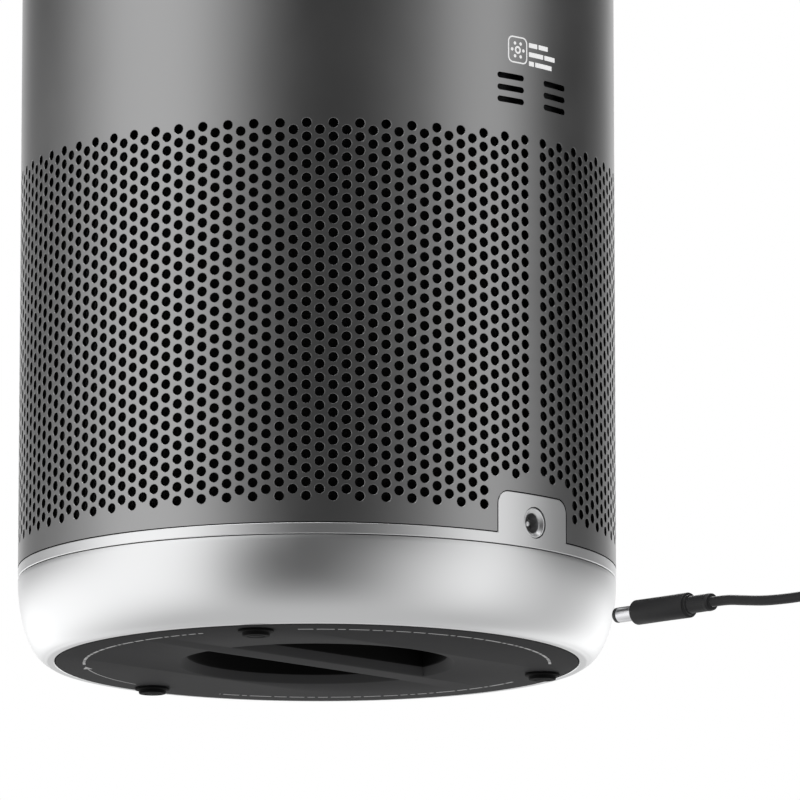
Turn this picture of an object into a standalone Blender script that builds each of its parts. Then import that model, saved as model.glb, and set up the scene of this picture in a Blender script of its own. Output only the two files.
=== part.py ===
"""Drum air purifier: perforated shell, silver foot, twist-off cover, ring filter, fan and DC lead.

Frame: metres, +Z up, origin on the floor at the centre of the three feet. The power inlet and the
dust-sensor slots face +Y. Each sub-part below is one closed solid in one named object. Pieces that
move hang on an empty that sits on their axis.
"""

import math

import bmesh
import bpy
from mathutils import Matrix, Vector

MM = 0.001

# Overall
BODY_RADIUS = 110 * MM
BODY_HEIGHT = 350 * MM
SEGMENTS = 48  # sides of a full-size turned piece
INNER_SEGMENTS = 32
MIDDLE_SEGMENTS = 24
SMALL_SEGMENTS = 16
CORD_SEGMENTS = 12
SCREW_SEGMENTS = 10
PIN_SEGMENTS = 8
GAP = 0.3 * MM  # between pieces that touch
CHORD = 0.5 * MM  # more room between round pieces that have unequal numbers of sides
MERGE = 0.00001

# Foot of the body: skirt, ring with its tab, cover
FOOT_HEIGHT = 2.4 * MM
FOOT_RADIUS = 6.5 * MM
FOOT_PAD_RADIUS = 5.0 * MM
FOOT_INSET = 9.5 * MM  # from the cover's edge to a foot's centre
FOOT_COUNT = 3
SKIRT_HEIGHT = 30.1 * MM
SKIRT_TUCK = 12.5 * MM  # how far the skirt draws in at the floor
SKIRT_WALL = 2.4 * MM
SKIRT_LIP = 1.1 * MM
SKIRT_STEPS = 5
RING_HEIGHT = 4.0 * MM
RING_WALL = 2.4 * MM
TAB_RISE = 15.4 * MM
TAB_HALF_WIDTH = 17.9 * MM
TAB_CORNER = 5.0 * MM
COVER_CLEARANCE = 0.4 * MM
COVER_THICKNESS = 2.6 * MM
COVER_SEAL_WIDTH = 2.3 * MM
COVER_SEAL_HEIGHT = 1.7 * MM
POCKET_RADIUS = 51 * MM
POCKET_CHAMFER = 3 * MM
POCKET_DEPTH = 12 * MM
POCKET_ROOF = 2 * MM
BAR_WIDTH = 11 * MM
COLLAR_INSET = 6 * MM
COLLAR_WALL = 3 * MM
LUG_COUNT = 3
LUG_REACH = 4 * MM
LUG_WIDTH = 16 * MM
LUG_HEIGHT = 3 * MM
LUG_DROP = 3.5 * MM  # from the collar's top to a lug's top

# Shell and top
SHELL_WALL = 1.4 * MM
SLOT_LENGTH = 12.6 * MM
SLOT_HEIGHT = 2.2 * MM
SLOT_PITCH = 4.4 * MM
SLOT_OFFSET = 11.5 * MM  # from the inlet's plane to the middle of each group
SLOT_RISE = 14.3 * MM  # from the fan deck's underside to the middle slot
TOP_RING_HEIGHT = 12 * MM
TOP_ROUND_WIDTH = 7 * MM
TOP_ROUND_HEIGHT = 9 * MM
GRILLE_DROP = 3 * MM  # below the top edge
GRILLE_THICKNESS = 4 * MM
GRILLE_FINS = 36
GRILLE_FIN_SHARE = 0.22  # of the pitch from fin to fin
GRILLE_RIM = 3 * MM
PANEL_RADIUS = 43.9 * MM
PANEL_HEIGHT = 11 * MM
PANEL_DROP = 1 * MM  # below the top edge
SCREEN_RADIUS = 30 * MM
SCREEN_THICKNESS = 4 * MM

# Fan section, measured down from the top
FAN_SECTION = 164 * MM  # from the top down to the deck's underside
DECK_THICKNESS = 3 * MM
DECK_CLEARANCE = 1.8 * MM
EYE_RADIUS = 54 * MM
EYE_LIP = 10 * MM
EYE_WALL = 2 * MM
EYE_FLARE = 5 * MM  # how far the eye widens at the deck's underside
DUCT_INSET = 24 * MM  # room between the shell and the duct
DUCT_WALL = 2 * MM
DUCT_FLARE_HEIGHT = 40 * MM
IMPELLER_CLEARANCE = 8 * MM
IMPELLER_HEIGHT = 48 * MM
IMPELLER_LIFT = 14 * MM  # from the deck's top to the impeller's lower ring
PLATE = 2.4 * MM
BLADES = 9
BLADE_THICKNESS = 2 * MM
BLADE_INNER_RADIUS = 36 * MM
BLADE_INSET = 1 * MM  # from the wheel's edge to the blades' ends
BLADE_SWEEP = math.radians(38)
BLADE_CURL = 1.3  # power of the sweep along a blade
HUB_RADIUS = 13 * MM
HUB_HEIGHT = 26 * MM
HUB_FLARE = 4 * MM
SHAFT_RADIUS = 3 * MM
NUT_RADIUS = 6 * MM
NUT_HEIGHT = 5 * MM
NUT_SIDES = 6
SHAFT_BELOW_NUT = 2 * MM
SHAFT_SINK = 4 * MM  # from the motor's top down to the shaft's end
MOUNT_LIFT = 8 * MM  # from the impeller's top to the motor mount
MOTOR_RADIUS = 28 * MM
MOTOR_HEIGHT = 26 * MM
MOTOR_EDGE = 3 * MM
CAN_WALL = 2 * MM
CAN_INSET = 1.2 * MM
STATOR_VANES = 9
STATOR_HEIGHT = 18 * MM
STATOR_LIFT = 4 * MM
STATOR_VANE_SHARE = 0.1
STATOR_RIM_STEPS = 3
BOARD = 1.6 * MM
MAIN_BOARD_SIDE = 47 * MM
MAIN_BOARD_LIFT = 16 * MM
DISPLAY_BOARD_LIFT = 2 * MM
DISPLAY_BOARD_INSET = 4 * MM

# Filter
FILTER_CLEARANCE = 4.6 * MM  # between the cover's edge and the filter's side
FILTER_CAP = 3.6 * MM
CAP_RIM = 3.2 * MM
CAP_RIM_WIDTH = 8 * MM
CORE_RADIUS = 50 * MM
CORE_WALL = 7.6 * MM
SLEEVE_WALL = 1 * MM
SEAL_HEIGHT = 4 * MM
SEAL_WIDTH = 8 * MM
SEAL_INSET = 7 * MM  # from the eye's radius to the seal's bore
STRAP_SIZE = (40 * MM, 20 * MM, 1.6 * MM)
STRAP_LIFT = 1.2 * MM

# Inner frame
CAGE_INSET = 12 * MM
CAGE_HEIGHT = 5.5 * MM
CAGE_DROP = 1.6 * MM  # from the ring's top down to the cage's top
POST_COUNT = 4
POST_DEPTH = 5 * MM
POST_WIDTH = 8 * MM
SCREW_RADIUS = 3.5 * MM
SCREW_HEIGHT = 2.2 * MM

# Power inlet and the sensor behind the slots
INLET_DROP = 10.1 * MM  # from the tab's top down to the inlet's axis
BEZEL_RADIUS = 5.7 * MM
BEZEL_BORE = 3.5 * MM
BEZEL_LENGTH = 5.2 * MM
BEZEL_SINK = 0.4 * MM
JACK_SIZE = (13 * MM, 10.8 * MM, 12 * MM)
JACK_BORE_DEPTH = 7.56 * MM
PIN_BEYOND_JACK = 2.08 * MM
PIN_RADIUS = 1.0 * MM
SENSOR_SIZE = (38 * MM, 17 * MM, 21 * MM)
SENSOR_GAP = 1 * MM
CHANNEL_SIZE = (10 * MM, 5 * MM)
CHANNEL_GAP = 4 * MM

# Lead, plug and wall adapter
PLUG_REACH = 149.4 * MM  # from the body's axis to the plug's tip
PLUG_RADIUS = 4.5 * MM
PLUG_LENGTH = 26 * MM
PLUG_EDGE = 0.6 * MM
BARREL_RADIUS = 2.75 * MM
BARREL_BORE = 1.05 * MM
BARREL_LENGTH = 7.6 * MM
TIP_LENGTH = 1.5 * MM
SLEEVE_RADIUS = 3.2 * MM
SLEEVE_LENGTH = 10 * MM
CORD_RADIUS = 1.8 * MM
CORD_POINT_EVERY = 9 * MM
COIL_TURN_RADIUS = 21.2 * MM
COIL_HALF_WIDTH = 6.7 * MM
COIL_HEIGHT = 14.8 * MM
COIL_EDGE = 3 * MM
COIL_CENTRE = (-25.8 * MM, 262 * MM)
TIE_WALL = 0.8 * MM
TIE_WIDTH = 9 * MM
TIE_ANGLE = math.radians(215)
ADAPTER_SIZE = (30 * MM, 66 * MM, 40 * MM)
ADAPTER_CENTRE = (-84 * MM, 220 * MM)
ADAPTER_CAP = 6 * MM
ADAPTER_EDGE = 3 * MM
BLADE_SIZE = (16 * MM, 6.35 * MM, 1.5 * MM)
PRONG_PITCH = 12.7 * MM
PRONG_OFFSET = -12 * MM
RELIEF_LENGTH = 14 * MM
RELIEF_HEIGHT = 12 * MM  # height of the cord's exit above the floor
RELIEF_RADIUS = 3.4 * MM
RELIEF_WALL = 0.4 * MM
LEAD_ROUTE = (
    (0, 195.8 * MM, 4.5 * MM),
    (0, 203 * MM, 4.3 * MM),
    (0, 211 * MM, 3.3 * MM),
    (0, 220 * MM, 2.3 * MM),
    (0, 230 * MM, 1.9 * MM),
    (0, 239 * MM, 1.9 * MM),
    (0, 247.2 * MM, 1.9 * MM),
)
TAIL_ROUTE = (
    (-40.6 * MM, 287.8 * MM, 12.2 * MM),
    (-47 * MM, 288.2 * MM, 9.6 * MM),
    (-55 * MM, 288 * MM, 5.4 * MM),
    (-64 * MM, 286.8 * MM, 3.2 * MM),
    (-73 * MM, 283.4 * MM, 4.2 * MM),
    (-80 * MM, 277.4 * MM, 8 * MM),
    (-83.4 * MM, 271.6 * MM, 11.2 * MM),
    (-84 * MM, 268 * MM, 12 * MM),
)

# Heights that follow from the sizes above
COVER_FACE = FOOT_HEIGHT
SKIRT_LOW = COVER_FACE + GAP
SKIRT_TOP = SKIRT_LOW + SKIRT_HEIGHT
RING_LOW = SKIRT_TOP + GAP
RING_TOP = RING_LOW + RING_HEIGHT
TAB_TOP = RING_TOP + TAB_RISE
INLET_Z = TAB_TOP - INLET_DROP
TOP_RING_LOW = BODY_HEIGHT - TOP_RING_HEIGHT
DECK_LOW = BODY_HEIGHT - FAN_SECTION
DECK_TOP = DECK_LOW + DECK_THICKNESS
COVER_BOSS_TOP = COVER_FACE + POCKET_DEPTH + POCKET_ROOF
CAP_LOW = COVER_BOSS_TOP + GAP
CAP_TOP = CAP_LOW + CAP_RIM + FILTER_CAP
SEAL_TOP = DECK_LOW - GAP
UPPER_CAP_TOP = SEAL_TOP - SEAL_HEIGHT - GAP
UPPER_CAP_LOW = UPPER_CAP_TOP - FILTER_CAP
MEDIA_LOW = CAP_TOP + GAP
MEDIA_TOP = UPPER_CAP_LOW - GAP
CAGE_TOP = RING_TOP - CAGE_DROP
IMPELLER_LOW = DECK_TOP + IMPELLER_LIFT
IMPELLER_TOP = IMPELLER_LOW + IMPELLER_HEIGHT
MOUNT_LOW = IMPELLER_TOP + MOUNT_LIFT
MOTOR_LOW = MOUNT_LOW + PLATE + GAP
MOTOR_TOP = MOTOR_LOW + MOTOR_HEIGHT
GRILLE_TOP = BODY_HEIGHT - GRILLE_DROP
GRILLE_LOW = GRILLE_TOP - GRILLE_THICKNESS
PANEL_TOP = BODY_HEIGHT - PANEL_DROP
PANEL_LOW = PANEL_TOP - PANEL_HEIGHT

# Radii that follow
SKIRT_LIP_RADIUS = BODY_RADIUS - SKIRT_TUCK - SKIRT_LIP
COVER_RADIUS = SKIRT_LIP_RADIUS - COVER_CLEARANCE
FOOT_CIRCLE = COVER_RADIUS - FOOT_INSET
COLLAR_RADIUS = COVER_RADIUS - COLLAR_INSET
FILTER_RADIUS = COVER_RADIUS - FILTER_CLEARANCE
SHELL_BORE = BODY_RADIUS - SHELL_WALL
DUCT_BORE = BODY_RADIUS - DUCT_INSET - DUCT_WALL
IMPELLER_RADIUS = DUCT_BORE - IMPELLER_CLEARANCE
WHEEL_EYE = EYE_RADIUS + 1.5 * EYE_WALL
# The blades end near the wheel's edge, and past the middle of the ring that joins them.
BLADE_OUTER_RADIUS = max(IMPELLER_RADIUS - BLADE_INSET, (WHEEL_EYE + IMPELLER_RADIUS) / 2)
GRILLE_RADIUS = BODY_RADIUS - TOP_ROUND_WIDTH - RING_WALL - GAP - CHORD
GRILLE_BORE = PANEL_RADIUS + GAP
CAN_RADIUS = PANEL_RADIUS - CAN_INSET
CAGE_RADIUS = BODY_RADIUS - RING_WALL - GAP - 2 * CHORD
BORE_RADIUS = SHAFT_RADIUS + GAP


def finish(name, colour, roughness, metallic=0.0):
    """A plain material: base colour, roughness and metallic value."""
    made = bpy.data.materials.new(name)
    made.use_nodes = True
    shader = made.node_tree.nodes["Principled BSDF"]
    shader.inputs["Base Color"].default_value = (*colour, 1)
    shader.inputs["Roughness"].default_value = roughness
    shader.inputs["Metallic"].default_value = metallic
    made.diffuse_color = (*colour, 1)
    return made


def place(name, bm, material, carrier=None, smooth=True):
    """Makes a named object of a bmesh, with its material, hung on a carrier if it moves."""
    bmesh.ops.remove_doubles(bm, verts=bm.verts, dist=MERGE)
    bmesh.ops.recalc_face_normals(bm, faces=bm.faces)
    mesh = bpy.data.meshes.new(name)
    bm.to_mesh(mesh)
    bm.free()
    if smooth:
        mesh.shade_smooth()
        mesh.set_sharp_from_angle(angle=math.radians(35))
    made = bpy.data.objects.new(name, mesh)
    bpy.context.collection.objects.link(made)
    if material:
        mesh.materials.append(material)
    if carrier:
        made.parent = carrier
    return made


def carrier_at(name):
    """An empty on the body's axis that a moving group hangs on."""
    made = bpy.data.objects.new(name, None)
    bpy.context.collection.objects.link(made)
    return made


def arc(centre, radii, start, end, steps):
    """Points on an elliptic arc, both ends included; angles in degrees."""
    angles = [math.radians(start + (end - start) * i / steps) for i in range(steps + 1)]
    return [
        (centre[0] + radii[0] * math.cos(a), centre[1] + radii[1] * math.sin(a)) for a in angles
    ]


def turned(profile, segments=SEGMENTS):
    """A bmesh of a closed outline of (radius, height) points turned about Z."""
    bm = bmesh.new()
    points = [bm.verts.new((radius, 0, height)) for radius, height in profile]
    pairs = list(zip(points, points[1:]))
    if profile[0][0] > 0:
        pairs.append((points[-1], points[0]))
    edges = [bm.edges.new(pair) for pair in pairs]
    bmesh.ops.spin(
        bm,
        geom=points + edges,
        cent=(0, 0, 0),
        axis=(0, 0, 1),
        angle=2 * math.pi,
        steps=segments,
        use_merge=True,
    )
    return bm


def tube(inner, outer, low, high, segments=SEGMENTS):
    """A plain round tube."""
    return turned([(inner, low), (inner, high), (outer, high), (outer, low)], segments)


def rod(radius, low, high, segments):
    """A plain round bar."""
    return turned([(0, low), (radius, low), (radius, high), (0, high)], segments)


def extruded(outlines, low, high):
    """A bmesh of one or more flat outlines in XY, extruded along Z from low to high."""
    bm = bmesh.new()
    for outline in outlines:
        face = bm.faces.new([bm.verts.new((x, y, low)) for x, y in outline])
        raised = bmesh.ops.extrude_face_region(bm, geom=[face])["geom"]
        corners = [item for item in raised if isinstance(item, bmesh.types.BMVert)]
        bmesh.ops.translate(bm, verts=corners, vec=(0, 0, high - low))
    return bm


def facing_back(bm):
    """Turns a bmesh so that its own Y stands up and its own Z points along -Y."""
    bmesh.ops.transform(bm, matrix=Matrix.Rotation(math.pi / 2, 4, "X"), verts=bm.verts)
    return bm


def along_y(bm, centre, start):
    """Lays a bmesh that is turned about Z along +Y, from start, around centre (x, z)."""
    lay = Matrix.Translation((centre[0], start, centre[1])) @ Matrix.Rotation(-math.pi / 2, 4, "X")
    bmesh.ops.transform(bm, matrix=lay, verts=bm.verts)
    return bm


def box(size, centre, turn=0.0):
    """A block, moved to its centre and then turned about Z."""
    bm = bmesh.new()
    bmesh.ops.create_cube(bm, size=1)
    bmesh.ops.scale(bm, vec=size, verts=bm.verts)
    bmesh.ops.translate(bm, vec=centre, verts=bm.verts)
    bmesh.ops.rotate(
        bm, verts=bm.verts, cent=(0, 0, 0), matrix=Matrix.Rotation(turn, 3, "Z")
    )
    return bm


def rounded_outline(half_width, low, high, corner):
    """An upright rectangle whose two upper corners are round."""
    right = arc((half_width - corner, high - corner), (corner, corner), 0, 90, 5)
    left = arc((corner - half_width, high - corner), (corner, corner), 90, 180, 5)
    return [(half_width, low), *right, *left, (-half_width, low)]


def stadium(centre, length, height):
    """A slot with round ends."""
    radius = height / 2
    reach = length / 2 - radius
    right = arc((centre[0] + reach, centre[1]), (radius, radius), -90, 90, 4)
    left = arc((centre[0] - reach, centre[1]), (radius, radius), 90, 270, 4)
    return [*right, *left]


def combine(target, name, bm, operation):
    """Adds a Boolean to target, with a hidden tool made of a bmesh."""
    tool = place(name, bm, None, smooth=False)
    tool.hide_render = True
    tool.display_type = "WIRE"
    step = target.modifiers.new(name, "BOOLEAN")
    step.operation = operation
    step.object = tool
    return tool


def spoked_ring(radii, rim, spokes, heights, share, steps=1):
    """Two rims joined by flat spokes, each share of a spoke's pitch wide, as one solid.

    radii and heights are (inner, outer) and (low, high). The rims have steps sides between one
    spoke and the next.
    """
    bm = bmesh.new()
    inner, outer = radii
    low, high = heights
    edges = (inner, inner + rim, outer - rim, outer)
    pitch = 2 * math.pi / spokes
    cells = [-share / 2, *(share / 2 + (1 - share) * k / steps for k in range(steps))]
    angles = [pitch * (i + cell) for i in range(spokes) for cell in cells]
    rings = [
        [bm.verts.new((r * math.cos(a), r * math.sin(a), low)) for a in angles] for r in edges
    ]
    count = len(angles)
    for band, (near, far) in enumerate(zip(rings, rings[1:])):
        for i in range(count):
            if band == 1 and i % len(cells):
                continue
            after = (i + 1) % count
            bm.faces.new((near[i], far[i], far[after], near[after]))
    raised = bmesh.ops.extrude_face_region(bm, geom=bm.faces[:])["geom"]
    corners = [item for item in raised if isinstance(item, bmesh.types.BMVert)]
    bmesh.ops.translate(bm, verts=corners, vec=(0, 0, high - low))
    return bm


def tab_tool(grow, near, far):
    """The tab's outline, grown by a margin, as a bar along +Y between two distances."""
    outline = rounded_outline(
        TAB_HALF_WIDTH + grow, RING_LOW - 2 * MM, TAB_TOP + grow, TAB_CORNER + grow
    )
    return facing_back(extruded([outline], -far, -near))


def around(count, start=0.0):
    """Evenly spaced angles."""
    return [start + 2 * math.pi * i / count for i in range(count)]


def build_skirt(silver):
    """The silver skirt, a shell that draws in to a lip around the cover."""
    tuck = SKIRT_TUCK
    centre = (BODY_RADIUS - tuck, SKIRT_TOP)
    outer = arc(centre, (tuck, SKIRT_HEIGHT), 0, -90, SKIRT_STEPS)
    wall = SKIRT_WALL
    inner = arc(centre, (tuck - wall, SKIRT_HEIGHT - wall), -90, 0, SKIRT_STEPS - 2)
    lip = [(SKIRT_LIP_RADIUS, SKIRT_LOW), (SKIRT_LIP_RADIUS, SKIRT_LOW + wall)]
    place("base_skirt", turned([*outer, *lip, *inner]), silver)


def build_ring(silver, dark):
    """The silver ring with its raised tab, the power inlet's bezel, socket and pin."""
    bore = BODY_RADIUS - RING_WALL
    ring = place("base_ring", tube(bore, BODY_RADIUS, RING_LOW, TAB_TOP), silver)
    side = 3 * BODY_RADIUS
    waste = box((side, side, side), (0, 0, RING_TOP + side / 2))
    waste_tool = combine(ring, "ring_waste", waste, "DIFFERENCE")
    keep = tab_tool(0, BODY_RADIUS / 2, BODY_RADIUS * 2)
    combine(waste_tool, "tab_keep", keep, "DIFFERENCE")
    hole = rod(BEZEL_RADIUS + GAP, 0, BODY_RADIUS, SMALL_SEGMENTS)
    combine(ring, "inlet_hole", along_y(hole, (0, INLET_Z), BODY_RADIUS / 2), "DIFFERENCE")

    mouth = BODY_RADIUS - BEZEL_SINK
    back = mouth - BEZEL_LENGTH
    bezel = tube(BEZEL_BORE, BEZEL_RADIUS, 0, BEZEL_LENGTH, SMALL_SEGMENTS)
    place("inlet_bezel", along_y(bezel, (0, INLET_Z), back), silver)
    front = back - GAP
    block = box(JACK_SIZE, (0, front - JACK_SIZE[1] / 2, INLET_Z))
    jack = place("inlet_jack", block, dark, smooth=False)
    floor = front - JACK_BORE_DEPTH
    socket = rod(BEZEL_BORE, 0, JACK_SIZE[1], SMALL_SEGMENTS)
    combine(jack, "jack_bore", along_y(socket, (0, INLET_Z), floor), "DIFFERENCE")
    pin = rod(PIN_RADIUS, 0, JACK_BORE_DEPTH + PIN_BEYOND_JACK, PIN_SEGMENTS)
    place("inlet_pin", along_y(pin, (0, INLET_Z), floor + GAP), silver)


def build_shell(metal):
    """The dark metal shell, notched around the tab and slotted in front of the sensor."""
    low = RING_TOP + GAP
    shell = place("outer_shell", tube(SHELL_BORE, BODY_RADIUS, low, TOP_RING_LOW - GAP), metal)
    combine(shell, "tab_notch", tab_tool(GAP, BODY_RADIUS / 2, BODY_RADIUS * 2), "DIFFERENCE")
    middle = DECK_LOW + SLOT_RISE
    slots = [
        stadium((side * SLOT_OFFSET, middle + row * SLOT_PITCH), SLOT_LENGTH, SLOT_HEIGHT)
        for side in (-1, 1)
        for row in (-1, 0, 1)
    ]
    cut = facing_back(extruded(slots, -BODY_RADIUS * 1.2, -BODY_RADIUS * 0.8))
    combine(shell, "sensor_slots", cut, "DIFFERENCE")


def build_top(silver, black, glass):
    """The rounded top ring, the finned outlet grille and the control panel with its screen."""
    wall = RING_WALL
    centre = (BODY_RADIUS - TOP_ROUND_WIDTH, BODY_HEIGHT - TOP_ROUND_HEIGHT)
    outer = arc(centre, (TOP_ROUND_WIDTH, TOP_ROUND_HEIGHT), 0, 90, 4)
    lip_radius = GRILLE_RADIUS + GAP + CHORD
    lip = [(lip_radius, BODY_HEIGHT), (lip_radius, BODY_HEIGHT - wall)]
    inner = arc(centre, (TOP_ROUND_WIDTH - wall, TOP_ROUND_HEIGHT - wall), 90, 0, 2)
    low = [(BODY_RADIUS - wall, TOP_RING_LOW), (BODY_RADIUS, TOP_RING_LOW)]
    place("top_ring", turned([*outer, *lip, *inner, *low]), silver)
    grille = spoked_ring(
        (GRILLE_BORE, GRILLE_RADIUS),
        GRILLE_RIM,
        GRILLE_FINS,
        (GRILLE_LOW, GRILLE_TOP),
        GRILLE_FIN_SHARE,
    )
    place("outlet_grille", grille, black, smooth=False)
    panel = tube(SCREEN_RADIUS + GAP, PANEL_RADIUS, PANEL_LOW, PANEL_TOP, INNER_SEGMENTS)
    place("control_panel", panel, black)
    screen = rod(SCREEN_RADIUS, PANEL_TOP - SCREEN_THICKNESS, PANEL_TOP, INNER_SEGMENTS)
    place("display_screen", screen, glass)


def build_cage(plastic, steel):
    """The inner frame: a ring above the skirt, posts, the fan deck and its screws."""
    inner = BODY_RADIUS - CAGE_INSET
    ring = tube(inner, CAGE_RADIUS, CAGE_TOP - CAGE_HEIGHT, CAGE_TOP, INNER_SEGMENTS)
    place("cage_ring", ring, plastic)
    profile = [
        (SHELL_BORE - DECK_CLEARANCE, DECK_LOW),
        (SHELL_BORE - DECK_CLEARANCE, DECK_TOP),
        (EYE_RADIUS + EYE_FLARE + DECK_THICKNESS, DECK_TOP),
        (WHEEL_EYE, DECK_TOP + EYE_LIP / 3),
        (EYE_RADIUS + EYE_WALL, DECK_TOP + EYE_LIP),
        (EYE_RADIUS, DECK_TOP + EYE_LIP),
        (EYE_RADIUS + EYE_FLARE / 5, DECK_TOP),
        (EYE_RADIUS + EYE_FLARE, DECK_LOW),
    ]
    place("fan_deck", turned(profile, INNER_SEGMENTS), plastic)
    reach = inner + POST_DEPTH / 2 + GAP
    height = DECK_LOW - CAGE_TOP - 2 * GAP
    for number, angle in enumerate(around(POST_COUNT, math.pi / 4), 1):
        size = (POST_DEPTH, POST_WIDTH, height)
        post = box(size, (reach, 0, CAGE_TOP + GAP + height / 2), angle)
        place(f"cage_post_{number}", post, plastic, smooth=False)
        seat = DECK_TOP + GAP
        screw = rod(SCREW_RADIUS, seat, seat + SCREW_HEIGHT, SCREW_SEGMENTS)
        side = Vector((reach * math.cos(angle), reach * math.sin(angle), 0))
        bmesh.ops.translate(screw, vec=side, verts=screw.verts)
        place(f"deck_screw_{number}", screw, steel)


def build_fan_housing(plastic, steel, board):
    """The duct, the stator vanes, the central can, the motor and the two circuit boards."""
    flare = GRILLE_RADIUS - GRILLE_RIM
    wall = DUCT_WALL
    high = GRILLE_LOW - GAP
    low = DECK_TOP + GAP
    shoulder = high - DUCT_FLARE_HEIGHT
    inner = [(DUCT_BORE, low), (DUCT_BORE, shoulder), (flare, high)]
    outer = [(flare + wall, high), (DUCT_BORE + wall, shoulder), (DUCT_BORE + wall, low)]
    place("fan_duct", turned([*inner, *outer], INNER_SEGMENTS), plastic)
    can_bore = CAN_RADIUS - CAN_WALL
    can = tube(can_bore, CAN_RADIUS, MOTOR_LOW, PANEL_LOW - GAP, INNER_SEGMENTS)
    place("fan_can", can, plastic)
    stator_low = MOTOR_LOW + STATOR_LIFT
    stator = spoked_ring(
        (CAN_RADIUS + GAP + CHORD, DUCT_BORE - GAP - CHORD),
        CAN_WALL,
        STATOR_VANES,
        (stator_low, stator_low + STATOR_HEIGHT),
        STATOR_VANE_SHARE,
        STATOR_RIM_STEPS,
    )
    place("stator_vanes", stator, plastic, smooth=False)
    mount = tube(BORE_RADIUS, CAN_RADIUS, MOUNT_LOW, MOUNT_LOW + PLATE, MIDDLE_SEGMENTS)
    place("motor_mount", mount, steel)
    motor = [
        (BORE_RADIUS, MOTOR_LOW),
        (BORE_RADIUS, MOTOR_TOP),
        (MOTOR_RADIUS - MOTOR_EDGE, MOTOR_TOP),
        (MOTOR_RADIUS, MOTOR_TOP - MOTOR_EDGE),
        (MOTOR_RADIUS, MOTOR_LOW),
    ]
    place("motor", turned(motor, MIDDLE_SEGMENTS), steel)
    board_size = (MAIN_BOARD_SIDE, MAIN_BOARD_SIDE, BOARD)
    main = box(board_size, (0, 0, MOTOR_TOP + MAIN_BOARD_LIFT))
    place("main_board", main, board, smooth=False)
    seat = PANEL_LOW + DISPLAY_BOARD_LIFT
    display = rod(SCREEN_RADIUS - DISPLAY_BOARD_INSET, seat, seat + BOARD, MIDDLE_SEGMENTS)
    place("display_board", display, board)


def build_rotor(plastic, steel, carrier):
    """The fan wheel with swept blades, its shaft and its nut, on the body's axis."""
    top = IMPELLER_TOP
    hub_low = top - HUB_HEIGHT
    nut_low = hub_low - NUT_HEIGHT - GAP
    hub = [
        (BORE_RADIUS, hub_low),
        (HUB_RADIUS, hub_low),
        (HUB_RADIUS + HUB_FLARE, top - PLATE),
        (IMPELLER_RADIUS, top - PLATE),
        (IMPELLER_RADIUS, top),
        (BORE_RADIUS, top),
    ]
    wheel = place("fan_wheel", turned(hub, INNER_SEGMENTS), plastic, carrier)
    blades = []
    reach = BLADE_OUTER_RADIUS - BLADE_INNER_RADIUS
    for start in around(BLADES):
        spine = [
            (BLADE_INNER_RADIUS + reach * t, start - BLADE_SWEEP * t**BLADE_CURL)
            for t in (0, 0.4, 0.7, 1)
        ]
        half = BLADE_THICKNESS / 2
        front = [(r * math.cos(a + half / r), r * math.sin(a + half / r)) for r, a in spine]
        rear = [(r * math.cos(a - half / r), r * math.sin(a - half / r)) for r, a in spine]
        blades.append([*rear, *reversed(front)])
    low = IMPELLER_LOW
    blade_tool = extruded(blades, low + PLATE / 2, top - PLATE / 2)
    combine(wheel, "wheel_blades", blade_tool, "UNION")
    ring = tube(WHEEL_EYE, IMPELLER_RADIUS, low, low + PLATE, INNER_SEGMENTS)
    combine(wheel, "wheel_ring", ring, "UNION")
    shaft_ends = (nut_low - SHAFT_BELOW_NUT, MOTOR_TOP - SHAFT_SINK)
    place("fan_shaft", rod(SHAFT_RADIUS, *shaft_ends, SMALL_SEGMENTS), steel, carrier)
    blank = rod(NUT_RADIUS, nut_low, nut_low + NUT_HEIGHT, NUT_SIDES)
    nut = place("fan_nut", blank, steel, carrier, smooth=False)
    bore = rod(BORE_RADIUS, nut_low - GAP, nut_low + NUT_HEIGHT + GAP, SMALL_SEGMENTS)
    combine(nut, "nut_bore", bore, "DIFFERENCE")


def build_filter(cap, media, carbon, mesh, foam, strap, carrier):
    """The drop-out ring filter: two caps, pleated ring, carbon core, sleeve, seal and strap."""
    radius = FILTER_RADIUS
    rim = radius - CAP_RIM_WIDTH
    lower = [
        (0, CAP_LOW + CAP_RIM),
        (rim, CAP_LOW + CAP_RIM),
        (rim, CAP_LOW),
        (radius, CAP_LOW),
        (radius, CAP_TOP),
        (0, CAP_TOP),
    ]
    place("filter_cap_lower", turned(lower, INNER_SEGMENTS), cap, carrier)
    upper = tube(CORE_RADIUS, radius, UPPER_CAP_LOW, UPPER_CAP_TOP, INNER_SEGMENTS)
    place("filter_cap_upper", upper, cap, carrier)
    core_outer = CORE_RADIUS + CORE_WALL
    core = tube(CORE_RADIUS, core_outer, MEDIA_LOW, MEDIA_TOP, INNER_SEGMENTS)
    place("filter_core", core, carbon, carrier)
    sleeve_bore = radius - SLEEVE_WALL
    pleats = tube(core_outer + GAP, sleeve_bore - GAP, MEDIA_LOW, MEDIA_TOP, INNER_SEGMENTS)
    place("filter_pleats", pleats, media, carrier)
    sleeve = tube(sleeve_bore, radius, MEDIA_LOW, MEDIA_TOP, INNER_SEGMENTS)
    place("filter_sleeve", sleeve, mesh, carrier)
    bore = EYE_RADIUS + SEAL_INSET
    seal = tube(bore, bore + SEAL_WIDTH, SEAL_TOP - SEAL_HEIGHT, SEAL_TOP, INNER_SEGMENTS)
    place("filter_seal", seal, foam, carrier)
    strap_z = COVER_BOSS_TOP + STRAP_LIFT + STRAP_SIZE[2] / 2
    place("filter_strap", box(STRAP_SIZE, (0, 0, strap_z)), strap, carrier, smooth=False)


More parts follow.
